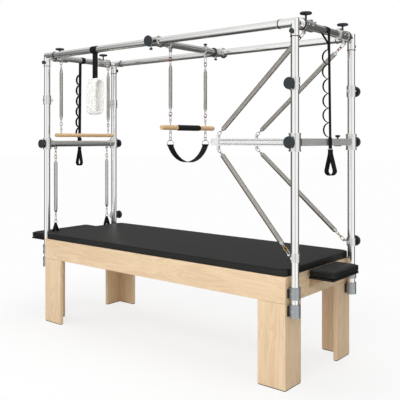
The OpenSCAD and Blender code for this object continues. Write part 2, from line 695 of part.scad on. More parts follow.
module push_knob_far() color([0.12, 0.14, 0.16]) at_mid()
    translate([upright_x, upright_y + sleeve_d / 2 + 2 + move_gap, push_z]) rotate([-90, 0, 0]) knob(14,
        knob_d, knob_t + 2);

module push_beam() color([0.55, 0.56, 0.55]) at_mid() difference() {
    translate([upright_x - beam_s / 2, -beam_y, push_z - beam_s / 2]) cube([beam_s, 2 * beam_y, beam_s]);
    translate([upright_x - beam_s / 2 + beam_wall, -beam_y - 1, push_z - beam_s / 2 + beam_wall])
        cube([beam_s - 2 * beam_wall, 2 * beam_y + 2, beam_s - 2 * beam_wall]);
}

// Black washers at the beam ends and the T-shaped knob on top of the beam.
module push_trim() color([0.05, 0.05, 0.06]) at_mid() {
    sides() bar_y(upright_x, -beam_y - washer_t, -beam_y, push_z, beam_s - 2);
    translate([upright_x, beam_knob_y, push_z + beam_s / 2]) tee_knob(8, 34, 15);
    translate([upright_x - 16, beam_knob_y - 18, push_z - beam_s / 2 - 5]) cube([32, 36, 5]);
}

module arm() {
    l = (arm_root_x - arm_tip_x) / cos(arm_slope) + 20;
    difference() {
        union() {
            translate([arm_tip_x, -arm_tip_y, push_z]) rotate([0, 0, -arm_slope]) {
                translate([0, -arm_t / 2, -arm_h / 2]) cube([l, arm_t, arm_h]);
                rotate([90, 0, 0]) translate([0, 0, -arm_t / 2]) cylinder(d = arm_h, h = arm_t);
            }
            translate([pin_x, -pin_y, push_z + pin_rise]) mirror([0, 0, 1])
                ears(pin_rise - arm_h / 2 + 1, 16);
            translate([pin_x, -pin_y, push_z - pin_rise]) ears(pin_rise - arm_h / 2 + 1, 16);
        }
        translate([arm_root_x, -upright_y - 50, push_z - arm_h]) cube([100, 200, 2 * arm_h]);
        translate([arm_tip_x - 12, -arm_tip_y + arm_t, push_z]) rotate([90, 0, 0]) cylinder(d = 7,
            h = 2 * arm_t);
        bar_y(handle_x, -handle_y + 1, -handle_y + 40, push_z, handle_d + 2 * fit_gap);
    }
}

module push_arms() color([0.78, 0.78, 0.77]) at_mid() sides() arm();

module push_handle() color([0.08, 0.08, 0.09]) at_mid()
    bar_y(handle_x, -handle_y + 1 + fit_gap, handle_y - 1 - fit_gap, push_z, handle_d);

// Sizes of the link chains: [length, width, wire, quarter turns].
hook_links = [[46, 22, link_wire, 0], [34, 34, link_wire, 1], [24, 18, 4, 0]];
arm_links = [[22 + link_play, 26, link_wire, 0], [24, 18, 4, 1]];
base_links = [[44, 22, link_wire, 0], [34, 34, link_wire, 1], [24, 18, 4, 0]];
hook_s = chain_end(first_start(link_wire), hook_links);
arm_s = chain_end(first_start(link_wire), arm_links);
base_s = chain_end(first_start(link_wire), base_links);

// Chain and tapered plug at the fixed end of a spring from p towards q.
module spring_base(p, q, l, s) {
    aim(p, q) {
        chain(first_start(link_wire), l);
        translate([0, 0, s - 5]) plug(spring_d, plug_l);
    }
}

// Plain envelope of the coil between the two plugs.
module spring_coil(p, q, s0, s1) {
    l = norm(q - p);
    aim(p, q) envelope(spring_d, s0 - 5 + plug_l, l - (s1 - 5 + plug_l) - link_gap);
}

module upper_links() color([0.7, 0.7, 0.7]) at_mid() sides()
    spring_base([upper_pin[0], -upper_pin[1], upper_pin[2]], [upper_arm_pin[0], -upper_arm_pin[1],
        upper_arm_pin[2]],
        hook_links, hook_s);

module upper_coils() color([0.45, 0.45, 0.44]) at_mid() sides()
    spring_coil([upper_pin[0], -upper_pin[1], upper_pin[2]], [upper_arm_pin[0], -upper_arm_pin[1],
        upper_arm_pin[2]],
        hook_s, arm_s);

module upper_ends() color([0.7, 0.7, 0.7]) at_mid() sides()
    spring_base([upper_arm_pin[0], -upper_arm_pin[1], upper_arm_pin[2]], [upper_pin[0], -upper_pin[1],
        upper_pin[2]],
        arm_links, arm_s);

module lower_links() color([0.7, 0.7, 0.7]) at_mid() sides()
    spring_base([lower_pin[0], -lower_pin[1], lower_pin[2]], [lower_arm_pin[0], -lower_arm_pin[1],
        lower_arm_pin[2]],
        base_links, base_s);

module lower_coils() color([0.45, 0.45, 0.44]) at_mid() sides()
    spring_coil([lower_pin[0], -lower_pin[1], lower_pin[2]], [lower_arm_pin[0], -lower_arm_pin[1],
        lower_arm_pin[2]],
        base_s, arm_s);

module lower_ends() color([0.7, 0.7, 0.7]) at_mid() sides()
    spring_base([lower_arm_pin[0], -lower_arm_pin[1], lower_arm_pin[2]], [lower_pin[0], -lower_pin[1],
        lower_pin[2]],
        arm_links, arm_s);

// Clamps that slide on the long rails, and the two hook collars on the carriage tube.
module carriage_clamps() color([0.6, 0.61, 0.61]) at_mid() {
    sides() difference() {
        union() {
            bar_x(carriage_x - 52, carriage_x + 52, -upright_y, rail_z, 62);
            bar_y(carriage_x, -upright_y, -carriage_socket, rail_z, 60);
            bar_y(carriage_x, -upright_y - 41, -upright_y, rail_z, 24);
            translate([carriage_x + 36, -upright_y, rail_z]) cylinder(d = 9, h = 38);
            translate([carriage_x - 30, -upright_y, rail_z - 40]) cylinder(d = 14, h = 40);
        }
        bar_x(carriage_x - 60, carriage_x + 60, -upright_y, rail_z, tube_d + 2 * move_gap);
        bar_y(carriage_x, -carriage_socket - 24, -carriage_socket + 1, rail_z, tube_d + 2 * fit_gap);
    }
    sides() difference() {
        union() {
            bar_y(carriage_x, -trapeze_y - 17, -trapeze_y + 17, rail_z, 60);
            translate([carriage_x, -trapeze_y, trapeze_pin_z]) ears(24, 14);
        }
        bar_y(carriage_x, -trapeze_y - 20, -trapeze_y + 20, rail_z, tube_d + 2 * fit_gap);
    }
}

module carriage_tube() color([0.66, 0.66, 0.65]) at_mid() difference() {
    bar_y(carriage_x, -carriage_socket - 22, carriage_socket + 22, rail_z, tube_d);
    bar_y(carriage_x, -carriage_socket - 23, carriage_socket + 23, rail_z, tube_d - 2 * tube_wall);
}

// Knobs and black rings of the carriage.
module carriage_trim() color([0.08, 0.09, 0.1]) at_mid() {
    sides() {
        translate([carriage_x, -upright_y - 41, rail_z]) rotate([90, 0, 0]) knob(10, knob_d, knob_t);
        translate([carriage_x - 30, -upright_y, rail_z - 40]) rotate([180, 0, 0]) knob(2, 26, 12);
        difference() {
            bar_y(carriage_x, -carriage_socket, -carriage_socket + gasket_t, rail_z, 66);
            bar_y(carriage_x, -carriage_socket - 1, -carriage_socket + gasket_t + 1, rail_z,
                tube_d + 2 * fit_gap);
        }
        translate([carriage_x, -trapeze_y, rail_z + 30]) knob(10, 30, 12);
    }
}

trapeze_hang = [[58, 24, link_wire, 0], [34, 34, link_wire, 1], [24, 18, 4, 0]];
trapeze_foot = [[24, 18, 4, 0], [34, 34, link_wire, 1], [40, 20, link_wire, 0]];
trapeze_eye_z = trapeze_bar_z + trapeze_bar_d / 2 + 18;

module trapeze_hangers() color([0.7, 0.7, 0.7]) at_mid() sides() translate([carriage_x, -trapeze_y, 0]) {
    s = chain_end(first_start(link_wire), trapeze_hang);
    aim([0, 0, trapeze_pin_z], [0, 0, 0]) {
        chain(first_start(link_wire), trapeze_hang);
        translate([0, 0, s - 5]) plug(short_spring_d - 2, trapeze_pin_z - trapeze_top_z - s + 5);
    }
}

module trapeze_springs() color([0.5, 0.5, 0.49]) at_mid() sides() translate([carriage_x, -trapeze_y, 0])
    wound(trapeze_wind, trapeze_wire);

// Spring feet, rings and the eye bolts through the trapeze bar.
module trapeze_links() color([0.7, 0.7, 0.7]) at_mid() sides() translate([carriage_x, -trapeze_y, 0]) {
    top = chain_end(0, trapeze_foot);
    eye_top = trapeze_eye_z + eye_w;
    z0 = eye_top - link_wire - link_gap - link_wire;
    translate([0, 0, z0]) mirror([0, 0, 1]) translate([0, 0, -top]) {
        chain(0, trapeze_foot);
    }
    translate([0, 0, z0 + top - 5]) plug(short_spring_d - 2, trapeze_low_z - z0 - top + 5);
    translate([0, 0, trapeze_eye_z]) rotate([0, 0, 90]) link(eye_w, eye_w, link_wire);
    translate([0, 0, trapeze_bar_z - trapeze_bar_d / 2 - 4]) cylinder(d = bolt_d, h = trapeze_bar_d + 24);
    translate([0, 0, sling_pivot_z - link_wire / 2]) rotate([0, 0, 90]) link(eye_w, eye_w, link_wire);
}

module trapeze_bar() color([0.83, 0.66, 0.42]) at_mid() difference() {
    bar_y(carriage_x, -trapeze_bar_l / 2, trapeze_bar_l / 2, trapeze_bar_z, trapeze_bar_d);
    sides() translate([carriage_x, -trapeze_y, trapeze_bar_z - trapeze_bar_d])
        cylinder(d = bolt_d + 2 * fit_gap, h = 2 * trapeze_bar_d);
}

module trapeze_grip() color([0.06, 0.06, 0.06]) at_mid() difference() {
    bar_y(carriage_x, -grip_l / 2, grip_l / 2, trapeze_bar_z, grip_d);
    bar_y(carriage_x, -grip_l / 2 - 1, grip_l / 2 + 1, trapeze_bar_z, trapeze_bar_d + 2 * fit_gap);
}

sling_links = [[44, 22, link_wire, 0], [30, 30, link_wire, 1]];
sling_s = -(link_wire / 2 + link_gap + link_wire);
d_ring_w = sling_w + 2 * link_wire + 2;
d_ring_s = chain_end(sling_s, sling_links) - 2 * link_wire - link_gap;
sling_bar_z = sling_pivot_z - d_ring_s - d_ring_w / 2 - 6 + eps;

// Clips, rings and D-rings between the trapeze bar's lower eyes and the sling.
module sling_rings() color([0.7, 0.7, 0.7]) at_mid() sides() translate([carriage_x, -trapeze_y, 0])
    aim([0, 0, sling_pivot_z], [0, 0, 0]) {
        chain(sling_s, sling_links);
        translate([0, 0, d_ring_s]) d_ring(d_ring_w, link_wire);
    }

// Black fabric band sewn round the bars of the two D-rings, hanging in a shallow curve.
module sling_band() color([0.05, 0.05, 0.05]) at_mid() {
    hem_d = link_wire + 2 * move_gap + 2 * sling_t;
    drop = sling_bar_z - hem_d / 2 - sling_low_z;
    r = (pow(trapeze_y, 2) + pow(drop, 2)) / (2 * drop);
    translate([carriage_x - sling_w / 2, 0, 0]) rotate([90, 0, 90]) linear_extrude(sling_w) intersection() {
        translate([0, sling_low_z + r]) difference() {
            circle(r = r, $fn = 128);
            circle(r = r - sling_t, $fn = 128);
        }
        translate([-trapeze_y, sling_low_z - 5]) square([2 * trapeze_y, drop + 6]);
    }
    sides() difference() {
        bar_x(carriage_x - sling_w / 2, carriage_x + sling_w / 2, -trapeze_y, sling_bar_z, hem_d);
        bar_x(carriage_x - sling_w, carriage_x + sling_w, -trapeze_y, sling_bar_z, link_wire + 2 * move_gap);
    }
}

module crossbar_sleeves() color([0.72, 0.72, 0.72]) at_mid() sides() difference() {
    union() {
        translate([-upright_x, -upright_y, crossbar_z - crossbar_sleeve_h / 2])
            cylinder(d = crossbar_sleeve_d, h = crossbar_sleeve_h);
        bar_y(-upright_x, -upright_y, -upright_y + 58, crossbar_z, 58);
        bar_y(-upright_x, -upright_y - 36, -upright_y, crossbar_z, 24);
    }
    translate([-upright_x, -upright_y, crossbar_z - crossbar_sleeve_h])
        cylinder(d = tube_d + 2 * move_gap, h = 2 * crossbar_sleeve_h);
    bar_y(-upright_x, -upright_y + 34, -upright_y + 60, crossbar_z, tube_d + 2 * fit_gap);
}

module crossbar_tube() color([0.66, 0.66, 0.65]) at_mid() {
    y = upright_y - 36;
    difference() {
        bar_y(-upright_x, -y, y, crossbar_z, tube_d);
        bar_y(-upright_x, -y - 1, y + 1, crossbar_z, tube_d - 2 * tube_wall);
    }
    sides() translate([-upright_x, -leg_y, leg_pin_z]) ears(15, 12);
}

module crossbar_knobs() color([0.12, 0.14, 0.16]) at_mid() sides()
    translate([-upright_x, -upright_y - 36, crossbar_z]) rotate([90, 0, 0]) knob(10, knob_d, knob_t);

roll_hang = [[34, 34, link_wire, 0], [24, 18, 4, 1]];
roll_foot = [[24, 18, 4, 0], [30, 30, link_wire, 1], [42, 18, link_wire, 0]];
roll_eye_z = roll_bar_z + roll_bar_d / 2 + 14;

module roll_hangers() color([0.7, 0.7, 0.7]) at_mid() sides() translate([roll_x, -roll_y, 0]) {
    s = chain_end(first_start(link_wire), roll_hang);
    aim([0, 0, roll_pin_z], [0, 0, 0]) {
        chain(first_start(link_wire), roll_hang);
        translate([0, 0, s - 5]) plug(short_spring_d, roll_pin_z - roll_top_z - s + 5);
    }
}

module roll_springs() color([0.45, 0.45, 0.44]) at_mid() sides() translate([roll_x, -roll_y, 0])
    envelope(short_spring_d, roll_low_z, roll_top_z);

module roll_links() color([0.7, 0.7, 0.7]) at_mid() sides() translate([roll_x, -roll_y, 0]) {
    top = chain_end(0, roll_foot);
    eye_top = roll_eye_z + eye_w;
    z0 = eye_top - link_wire - link_gap - link_wire;
    translate([0, 0, z0]) mirror([0, 0, 1]) translate([0, 0, -top]) chain(0, roll_foot);
    translate([0, 0, z0 + top - 5]) plug(short_spring_d, roll_low_z - z0 - top + 5);
    translate([0, 0, roll_eye_z]) rotate([0, 0, 90]) link(eye_w, eye_w, link_wire);
    translate([0, 0, roll_bar_z - roll_bar_d / 2 - 3]) cylinder(d = bolt_d, h = roll_bar_d + 19);
}

module roll_bar() color([0.83, 0.66, 0.42]) at_mid() difference() {
    bar_y(roll_x, -roll_bar_l / 2, roll_bar_l / 2, roll_bar_z, roll_bar_d);
    sides() translate([roll_x, -roll_y, roll_bar_z - roll_bar_d])
        cylinder(d = bolt_d + 2 * fit_gap, h = 2 * roll_bar_d);
}

leg_top_links = [[40, 18, link_wire, 0], [40, 18, link_wire, 1], [34, 34, link_wire, 0], [24, 18, 4, 1]];
leg_low_links = [[24, 18, 4, 1], [56, 22, link_wire, 0], [34, 34, link_wire, 1]];
leg_low_s = leg_pin_z - leg_spring_low_z + plug_l - 5;
cuff_ring_z = leg_pin_z - chain_end(leg_low_s, leg_low_links) + 17;

// One leg spring with its chain above and its clip and ring below, on the line x = y = 0.
module leg_spring() {
    s = chain_end(first_start(link_wire), leg_top_links);
    t = leg_pin_z - leg_spring_top_z;
    b = leg_pin_z - leg_spring_low_z;
    aim([0, 0, leg_pin_z], [0, 0, 0]) {
        chain(first_start(link_wire), leg_top_links);
        translate([0, 0, s - 5]) plug(short_spring_d + 1, t - s + 5);
        translate([0, 0, t - 1]) cylinder(d = short_spring_d, h = b - t + 2);
        translate([0, 0, b + plug_l]) mirror([0, 0, 1]) plug(short_spring_d + 1, plug_l);
        chain(leg_low_s, leg_low_links);
    }
}

module leg_spring_near() color([0.5, 0.5, 0.49]) at_mid() translate([-upright_x, -leg_y, 0]) leg_spring();
module leg_spring_far() color([0.5, 0.5, 0.49]) at_mid() translate([-upright_x, leg_y, 0]) leg_spring();

// Black cuff: a band loop in the YZ plane with a sewn neck round the lowest ring.
module leg_cuff() {
    z_ring = cuff_ring_z - 17 + link_wire / 2;
    w = 46;
    translate([-cuff_w / 2, 0, 0]) rotate([90, 0, 90]) linear_extrude(cuff_w) {
        h = z_ring - 8 - cuff_low_z;
        difference() {
            union() {
                translate([0, cuff_low_z + w / 2]) circle(d = w);
                polygon([[-w / 2, cuff_low_z + w / 2], [w / 2, cuff_low_z + w / 2], [5, z_ring - 4], [-5,
                    z_ring - 4]]);
            }
            translate([0, cuff_low_z + w / 2]) circle(d = w - 8);
            polygon([[-w / 2 + 4, cuff_low_z + w / 2], [w / 2 - 4, cuff_low_z + w / 2], [0, z_ring - 22]]);
        }
    }
    translate([-8, -4, z_ring - 10]) difference() {
        cube([16, 8, 10 + link_wire / 2 + 3]);
        translate([8, -5, 10]) rotate([-90, 0, 0]) cylinder(d = link_wire + 4 * move_gap, h = 20);
    }
}

module leg_cuff_near() color([0.04, 0.04, 0.04]) at_mid() translate([-upright_x, -leg_y, 0]) leg_cuff();
module leg_cuff_far() color([0.04, 0.04, 0.04]) at_mid() translate([-upright_x, leg_y, 0]) leg_cuff();

// Webbing round the near long rail, and the sewn run down to the fleece loop.
module fleece_strap() color([0.05, 0.05, 0.05]) at_mid() translate([fleece_x, -upright_y, rail_z]) {
    difference() {
        bar_x(-fleece_web_w / 2, fleece_web_w / 2, 0, 0, 2 * (strap_r + web_t));
        bar_x(-fleece_web_w, fleece_web_w, 0, 0, 2 * strap_r);
    }
    translate([-fleece_web_w / 2, -web_t, -tube_d / 2 - fleece_drop]) cube([fleece_web_w, 2 * web_t,
        fleece_drop - 1]);
}

module fleece_loop() color([0.93, 0.92, 0.88]) at_mid() translate([fleece_x - fleece_w / 2, -upright_y,
    rail_z])
    rotate([90, 0, 90]) linear_extrude(fleece_w) {
        z1 = -tube_d / 2 - fleece_drop;
        r = fleece_d / 2;
        translate([0, z1 - fleece_h]) difference() {
            union() {
                translate([0, r]) circle(r = r);
                translate([0, fleece_h - r]) circle(r = r);
                translate([-r, r]) square([2 * r, fleece_h - 2 * r]);
            }
            translate([0, r]) circle(r = r - fleece_t);
            translate([0, fleece_h - r]) circle(r = r - fleece_t);
            translate([-r + fleece_t, r]) square([2 * (r - fleece_t), fleece_h - 2 * r]);
        }
    }

// Safety strap in the XZ plane round a tube at the origin, on its +X side; bulge is the scallop side.
module safety_strap(bulge) rotate([90, 0, 0]) linear_extrude(web_w, center = true) rotate(strap_lean) {
    x = strap_r;
    handle_w = 60;
    difference() {
        circle(r = strap_r + web_t);
        circle(r = strap_r);
    }
    translate([x, -strap_run - 70]) square([web_t, strap_run + 70]);
    for (i = [0 : scallops - 1]) translate([x + (bulge < 0 ? 0.2 : web_t - 0.2),
        -strap_run + scallop_r + 2 * scallop_r * i - i * web_t])
        intersection() {
            difference() {
                circle(r = scallop_r);
                circle(r = scallop_r - web_t);
            }
            translate([bulge < 0 ? -scallop_r : 0, -scallop_r]) square([scallop_r, 2 * scallop_r]);
        }
    translate([x + web_t / 2, -strap_low]) difference() {
        h = strap_low - strap_run - 68;
        union() {
            translate([0, handle_w / 2]) circle(d = handle_w);
            polygon([[-handle_w / 2, handle_w / 2], [handle_w / 2, handle_w / 2], [5, h], [-5, h]]);
        }
        translate([0, handle_w / 2]) circle(d = handle_w - 8);
        polygon([[-handle_w / 2 + 4, handle_w / 2], [handle_w / 2 - 4, handle_w / 2], [0, h - 20]]);
    }
}

module strap_right() color([0.04, 0.04, 0.04]) at_mid() translate([upright_x, 0, rail_z]) safety_strap(-1);
module strap_left() color([0.04, 0.04, 0.04]) at_mid() translate([-upright_x, 0, rail_z]) mirror([1, 0,
    0]) safety_strap(1);

base_rails();
leg_posts();
leg_glides();
deck_panel();
mattress();
right_pad();
left_pad();
pad_boards();
pad_brackets();
post_sockets();
socket_plates();
uprights();
corner_elbows();
long_rails();
cross_tubes();
cross_couplings();
gasket_rings();
hook_collars();
clamp_knobs();
cross_knobs();
push_sleeves();
push_knob_near();
push_knob_far();
push_beam();
push_trim();
push_arms();
push_handle();
upper_links();
upper_coils();
upper_ends();
lower_links();
lower_coils();
lower_ends();
carriage_clamps();
carriage_tube();
carriage_trim();
trapeze_hangers();
trapeze_springs();
trapeze_links();
trapeze_bar();
trapeze_grip();
sling_rings();
sling_band();
crossbar_sleeves();
crossbar_tube();
crossbar_knobs();
roll_hangers();
roll_springs();
roll_links();
roll_bar();
leg_spring_near();
leg_spring_far();
leg_cuff_near();
leg_cuff_far();
fleece_strap();
fleece_loop();
strap_right();
strap_left();
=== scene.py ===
"""Looks of a padded trapeze exercise table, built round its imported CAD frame."""
import logging
import math
from dataclasses import dataclass, field
from enum import Enum
from typing import Callable, Iterable, Sequence

import bmesh
import bpy
import numpy as np
from mathutils import Matrix, Vector


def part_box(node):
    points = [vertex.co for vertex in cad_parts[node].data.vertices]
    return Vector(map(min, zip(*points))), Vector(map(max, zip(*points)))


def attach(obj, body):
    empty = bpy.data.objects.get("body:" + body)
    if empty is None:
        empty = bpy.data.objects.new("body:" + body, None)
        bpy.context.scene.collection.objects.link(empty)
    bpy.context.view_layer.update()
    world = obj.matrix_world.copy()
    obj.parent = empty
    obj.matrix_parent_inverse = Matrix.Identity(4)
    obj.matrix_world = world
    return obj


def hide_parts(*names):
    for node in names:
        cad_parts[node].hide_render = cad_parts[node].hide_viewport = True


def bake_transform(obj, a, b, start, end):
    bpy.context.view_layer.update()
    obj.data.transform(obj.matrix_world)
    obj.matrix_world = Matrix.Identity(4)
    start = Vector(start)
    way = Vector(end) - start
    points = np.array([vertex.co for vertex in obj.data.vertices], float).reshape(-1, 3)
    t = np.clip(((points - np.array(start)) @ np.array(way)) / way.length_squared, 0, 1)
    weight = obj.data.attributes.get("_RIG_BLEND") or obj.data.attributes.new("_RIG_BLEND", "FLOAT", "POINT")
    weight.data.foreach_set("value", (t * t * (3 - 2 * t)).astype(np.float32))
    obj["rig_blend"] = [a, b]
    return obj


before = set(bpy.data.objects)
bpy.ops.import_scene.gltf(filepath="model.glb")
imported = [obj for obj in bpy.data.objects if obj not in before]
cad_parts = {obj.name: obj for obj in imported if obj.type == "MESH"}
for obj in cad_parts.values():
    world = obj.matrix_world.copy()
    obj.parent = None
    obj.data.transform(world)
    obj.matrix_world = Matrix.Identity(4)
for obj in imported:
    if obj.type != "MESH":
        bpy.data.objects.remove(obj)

log = logging.getLogger("trapeze_table")
Pair = tuple[float, float]
Point = tuple[float, float, float]
Colour = tuple[float, float, float]
Spot = tuple[Point, Point]
Material, Object, BMesh = bpy.types.Material, bpy.types.Object, bmesh.types.BMesh

# Metres from the middle of the wooden base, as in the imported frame.
MIDDLE = Vector((0.077, 0, 0))  # where that middle lies in the row frame
POST_X, POST_Y, RAIL_Z = 1.140, 0.360, 2.100  # axes of the uprights and of the canopy's rails
CARRIAGE_X, TRAPEZE_Y, TRAPEZE_Z = 0.040, 0.195, 1.517  # the carriage, the trapeze's springs and its bar
ROLL_X, ROLL_Y, ROLL_Z = -1.097, 0.254, 1.469  # the roll-down bar and its springs
CROSSBAR_Z, LEG_Y = 1.400, 0.276  # the sliding crossbar and the leg springs
UPPER_FOOT, UPPER_PIN_Z = (POST_X, 0.260, 2.052), 1.463  # the upper slanted springs' ends
LOWER_FOOT, LOWER_PIN_Z = (1.096, 0.345, 0.770), 1.371  # the lower ones'
ALONG, ACROSS, UP = Vector((1, 0, 0)), Vector((0, 1, 0)), Vector((0, 0, 1))
SIDES = ((-1, "near"), (1, "far"))
HEXAGON = [math.radians(60 * k) for k in range(6)]
ROUND = [2 * math.pi * k / 28 for k in range(28)]
STITCH_STEP = 0.0042
LOOP_RADIUS, WEB_THICK = 0.0243, 0.0025  # the inside of webbing round a canopy tube, and its thickness
HANDLE_TURN = Vector((0.45, 0.89, 0))  # which way the right strap's handle has turned


class Axis(Enum):
    """A row axis, by its index."""

    X = 0
    Y = 1
    Z = 2

    def scale(self, across: float, along: float) -> Point:
        """Return a scale that differs along this axis."""
        x, y, z = (along if i == self.value else across for i in range(3))
        return x, y, z


# ---------------------------------------------------------------------------
# Node trees


def operator(operation: str, turned: bool = False) -> Callable[["Sig", "Sig | float"], "Sig"]:
    """Return a method that adds one Math node, with its two values turned round if asked."""
    def method(self: "Sig", other: "Sig | float") -> "Sig":
        """Return the Math node of the two values."""
        return self.math(operation, *((other, self) if turned else (self, other)))

    return method


class Sig:
    """A socket that takes part in Python arithmetic and adds its Math nodes."""

    __add__ = __radd__ = operator("ADD")
    __sub__, __rsub__ = operator("SUBTRACT"), operator("SUBTRACT", True)
    __mul__ = __rmul__ = operator("MULTIPLY")
    __truediv__ = operator("DIVIDE")
    least, most = operator("MINIMUM"), operator("MAXIMUM")

    def __init__(self, graph: "Graph", socket: bpy.types.NodeSocket) -> None:
        """Wrap one output socket of a graph."""
        self.graph = graph
        self.socket = socket

    def math(self, operation: str, *values: "Sig | float") -> "Sig":
        """Return a Math node of the values."""
        return self.graph.node("ShaderNodeMath", {"operation": operation}, dict(enumerate(values)))

    def sine(self) -> "Sig":
        """Return the sine of the value."""
        return self.math("SINE", self)

    def size(self) -> "Sig":
        """Return the absolute value."""
        return self.math("ABSOLUTE", self)

    def step(self, low: float, high: float) -> "Sig":
        """Return 0 below low and 1 above high, smooth between."""
        return self.graph.node("ShaderNodeMapRange", {"interpolation_type": "SMOOTHSTEP"},
                               {"Value": self, "From Min": low, "From Max": high})


class Graph:
    """Adds nodes to a node tree."""

    def __init__(self, tree: bpy.types.NodeTree) -> None:
        """Keep the tree."""
        self.tree = tree

    def add(self, kind: str, settings: dict | None = None, inputs: dict | None = None) -> bpy.types.Node:
        """Add a node.

        Args:
            kind: the node's type.
            settings: its properties, set before its sockets.
            inputs: values, sockets or Sigs by socket name or index.

        Returns:
            The node.
        """
        node = self.tree.nodes.new(kind)
        for key, value in (settings or {}).items():
            setattr(node, key, value)
        for key, value in (inputs or {}).items():
            if isinstance(value, Sig):
                value = value.socket
            if isinstance(value, bpy.types.NodeSocket):
                self.tree.links.new(value, node.inputs[key])
            else:
                node.inputs[key].default_value = value
        return node

    def node(self, kind: str, settings: dict | None = None, inputs: dict | None = None,
             out: int | str = 0) -> Sig:
        """Add a node and return one of its outputs as a Sig."""
        return Sig(self, self.add(kind, settings, inputs).outputs[out])

    def parts(self, vector: Sig) -> tuple[Sig, Sig, Sig]:
        """Return the three parts of a vector."""
        node = self.add("ShaderNodeSeparateXYZ", inputs={0: vector})
        return tuple(Sig(self, output) for output in node.outputs)


class Shader(Graph):
    """A material of one Principled surface."""

    def __init__(self, name: str) -> None:
        """Start an empty material of this name."""
        self.material = bpy.data.materials.new(name)
        self.material.use_nodes = True
        super().__init__(self.material.node_tree)
        self.tree.nodes.clear()
        self.surface = self.add("ShaderNodeBsdfPrincipled")
        self.output = self.add("ShaderNodeOutputMaterial", inputs={0: self.surface.outputs[0]})

    def set(self, **values: "Sig | float | tuple") -> None:
        """Set sockets of the surface; an underscore stands for a space."""
        for key, value in values.items():
            socket = self.surface.inputs[key.replace("_", " ")]
            if isinstance(value, Sig):
                self.tree.links.new(value.socket, socket)
            else:
                socket.default_value = (*value, 1) if isinstance(value, tuple) and len(value) == 3 else value

    def place(self, scale: Point = (1, 1, 1)) -> Sig:
        """Return the object coordinates, scaled."""
        coords = self.node("ShaderNodeTexCoord", out="Object")
        return self.node("ShaderNodeMapping", inputs={"Vector": coords, "Scale": scale})

    def along(self) -> Sig:
        """Return the piece's own UV coordinates."""
        return self.node("ShaderNodeUVMap", {"uv_map": "run"})

    def noise(self, scale: float, detail: float = 3.0, distortion: float = 0.0,
              vector: Sig | None = None) -> Sig:
        """Return a noise value, over the object's coordinates if no vector is given."""
        place = self.place() if vector is None else vector
        inputs = {"Vector": place, "Scale": scale, "Detail": detail, "Distortion": distortion}
        return self.node("ShaderNodeTexNoise", inputs=inputs, out="Fac")

    def mix(self, factor: "Sig | float", low: "Sig | tuple", high: "Sig | tuple") -> Sig:
        """Return a mix of two colours."""
        pair = [value if isinstance(value, Sig) else (*value, 1) for value in (low, high)]
        return self.node("ShaderNodeMix", {"data_type": "RGBA"}, {0: factor, 6: pair[0], 7: pair[1]}, out=2)

    def bump(self, height: Sig, distance: float, strength: float = 1.0) -> None:
        """Feed a bump to the surface's Normal."""
        inputs = {"Height": height, "Distance": distance, "Strength": strength}
        self.set(Normal=self.node("ShaderNodeBump", inputs=inputs, out="Normal"))


# ---------------------------------------------------------------------------
# Finishes


@dataclass(frozen=True)
class Finish:
    """A surface with a name; each kind paints it its own way."""

    name: str

    def paint(self, g: Shader) -> None:
        """Set the surface's sockets."""
        raise NotImplementedError

    def build(self) -> Material:
        """Return the material."""
        g = Shader(self.name)
        self.paint(g)
        return g.material


@dataclass(frozen=True)
class Metal(Finish):
    """Bare, brushed or cast metal, with rings of another colour where accents lie."""

    colour: Colour
    roughness: float
    grime: float = 0.12
    streaks: Axis | None = None
    cast: float = 0.0
    accents: tuple[tuple[Point, float, Colour], ...] = ()

    def paint(self, g: Shader) -> None:
        """Set the surface's sockets."""
        cloud = g.noise(9.0, 4.0)
        dull = tuple(c * 0.72 for c in self.colour)
        shade = g.mix(cloud.step(0.42, 0.78) * self.grime * 4, self.colour, dull)
        coords = g.place()
        for centre, reach, colour in self.accents:
            gap = g.node("ShaderNodeVectorMath", {"operation": "DISTANCE"},
                         {0: coords, 1: Vector(centre) + MIDDLE}, out="Value")
            shade = g.mix(1 - gap.step(reach * 0.97, reach * 1.0), shade, colour)
        rough = self.roughness + (cloud - 0.5) * self.grime
        if self.streaks is not None:
            fine = g.noise(1.0, 2.0, vector=g.place(self.streaks.scale(60.0, 1400.0)))
            rough = rough + (fine - 0.5) * 0.08
            shade = g.mix(fine.step(0.35, 0.7) * 0.12, shade, dull)
        if self.cast:
            g.bump(g.noise(900.0, 2.0), 0.0004 * self.cast, 0.5)
        g.set(Base_Color=shade, Metallic=1.0, Roughness=rough.most(0.04))


@dataclass(frozen=True)
class Moulded(Finish):
    """Moulded plastic, rubber, painted steel or foam."""

    colour: Colour
    roughness: float
    grain: float = 1200.0
    depth: float = 0.00008
    dust: float = 0.1
    shine: float = 0.3

    def paint(self, g: Shader) -> None:
        """Set the surface's sockets."""
        cloud = g.noise(14.0, 3.0)
        pale = tuple(c * 1.5 + 0.004 for c in self.colour)
        g.set(
            Base_Color=g.mix(cloud.step(0.45, 0.8) * self.dust * 3, self.colour, pale),
            Roughness=self.roughness + (cloud - 0.5) * 0.12,
            Specular_IOR_Level=self.shine,
        )
        g.bump(g.noise(self.grain, 2.0), self.depth, 0.6)


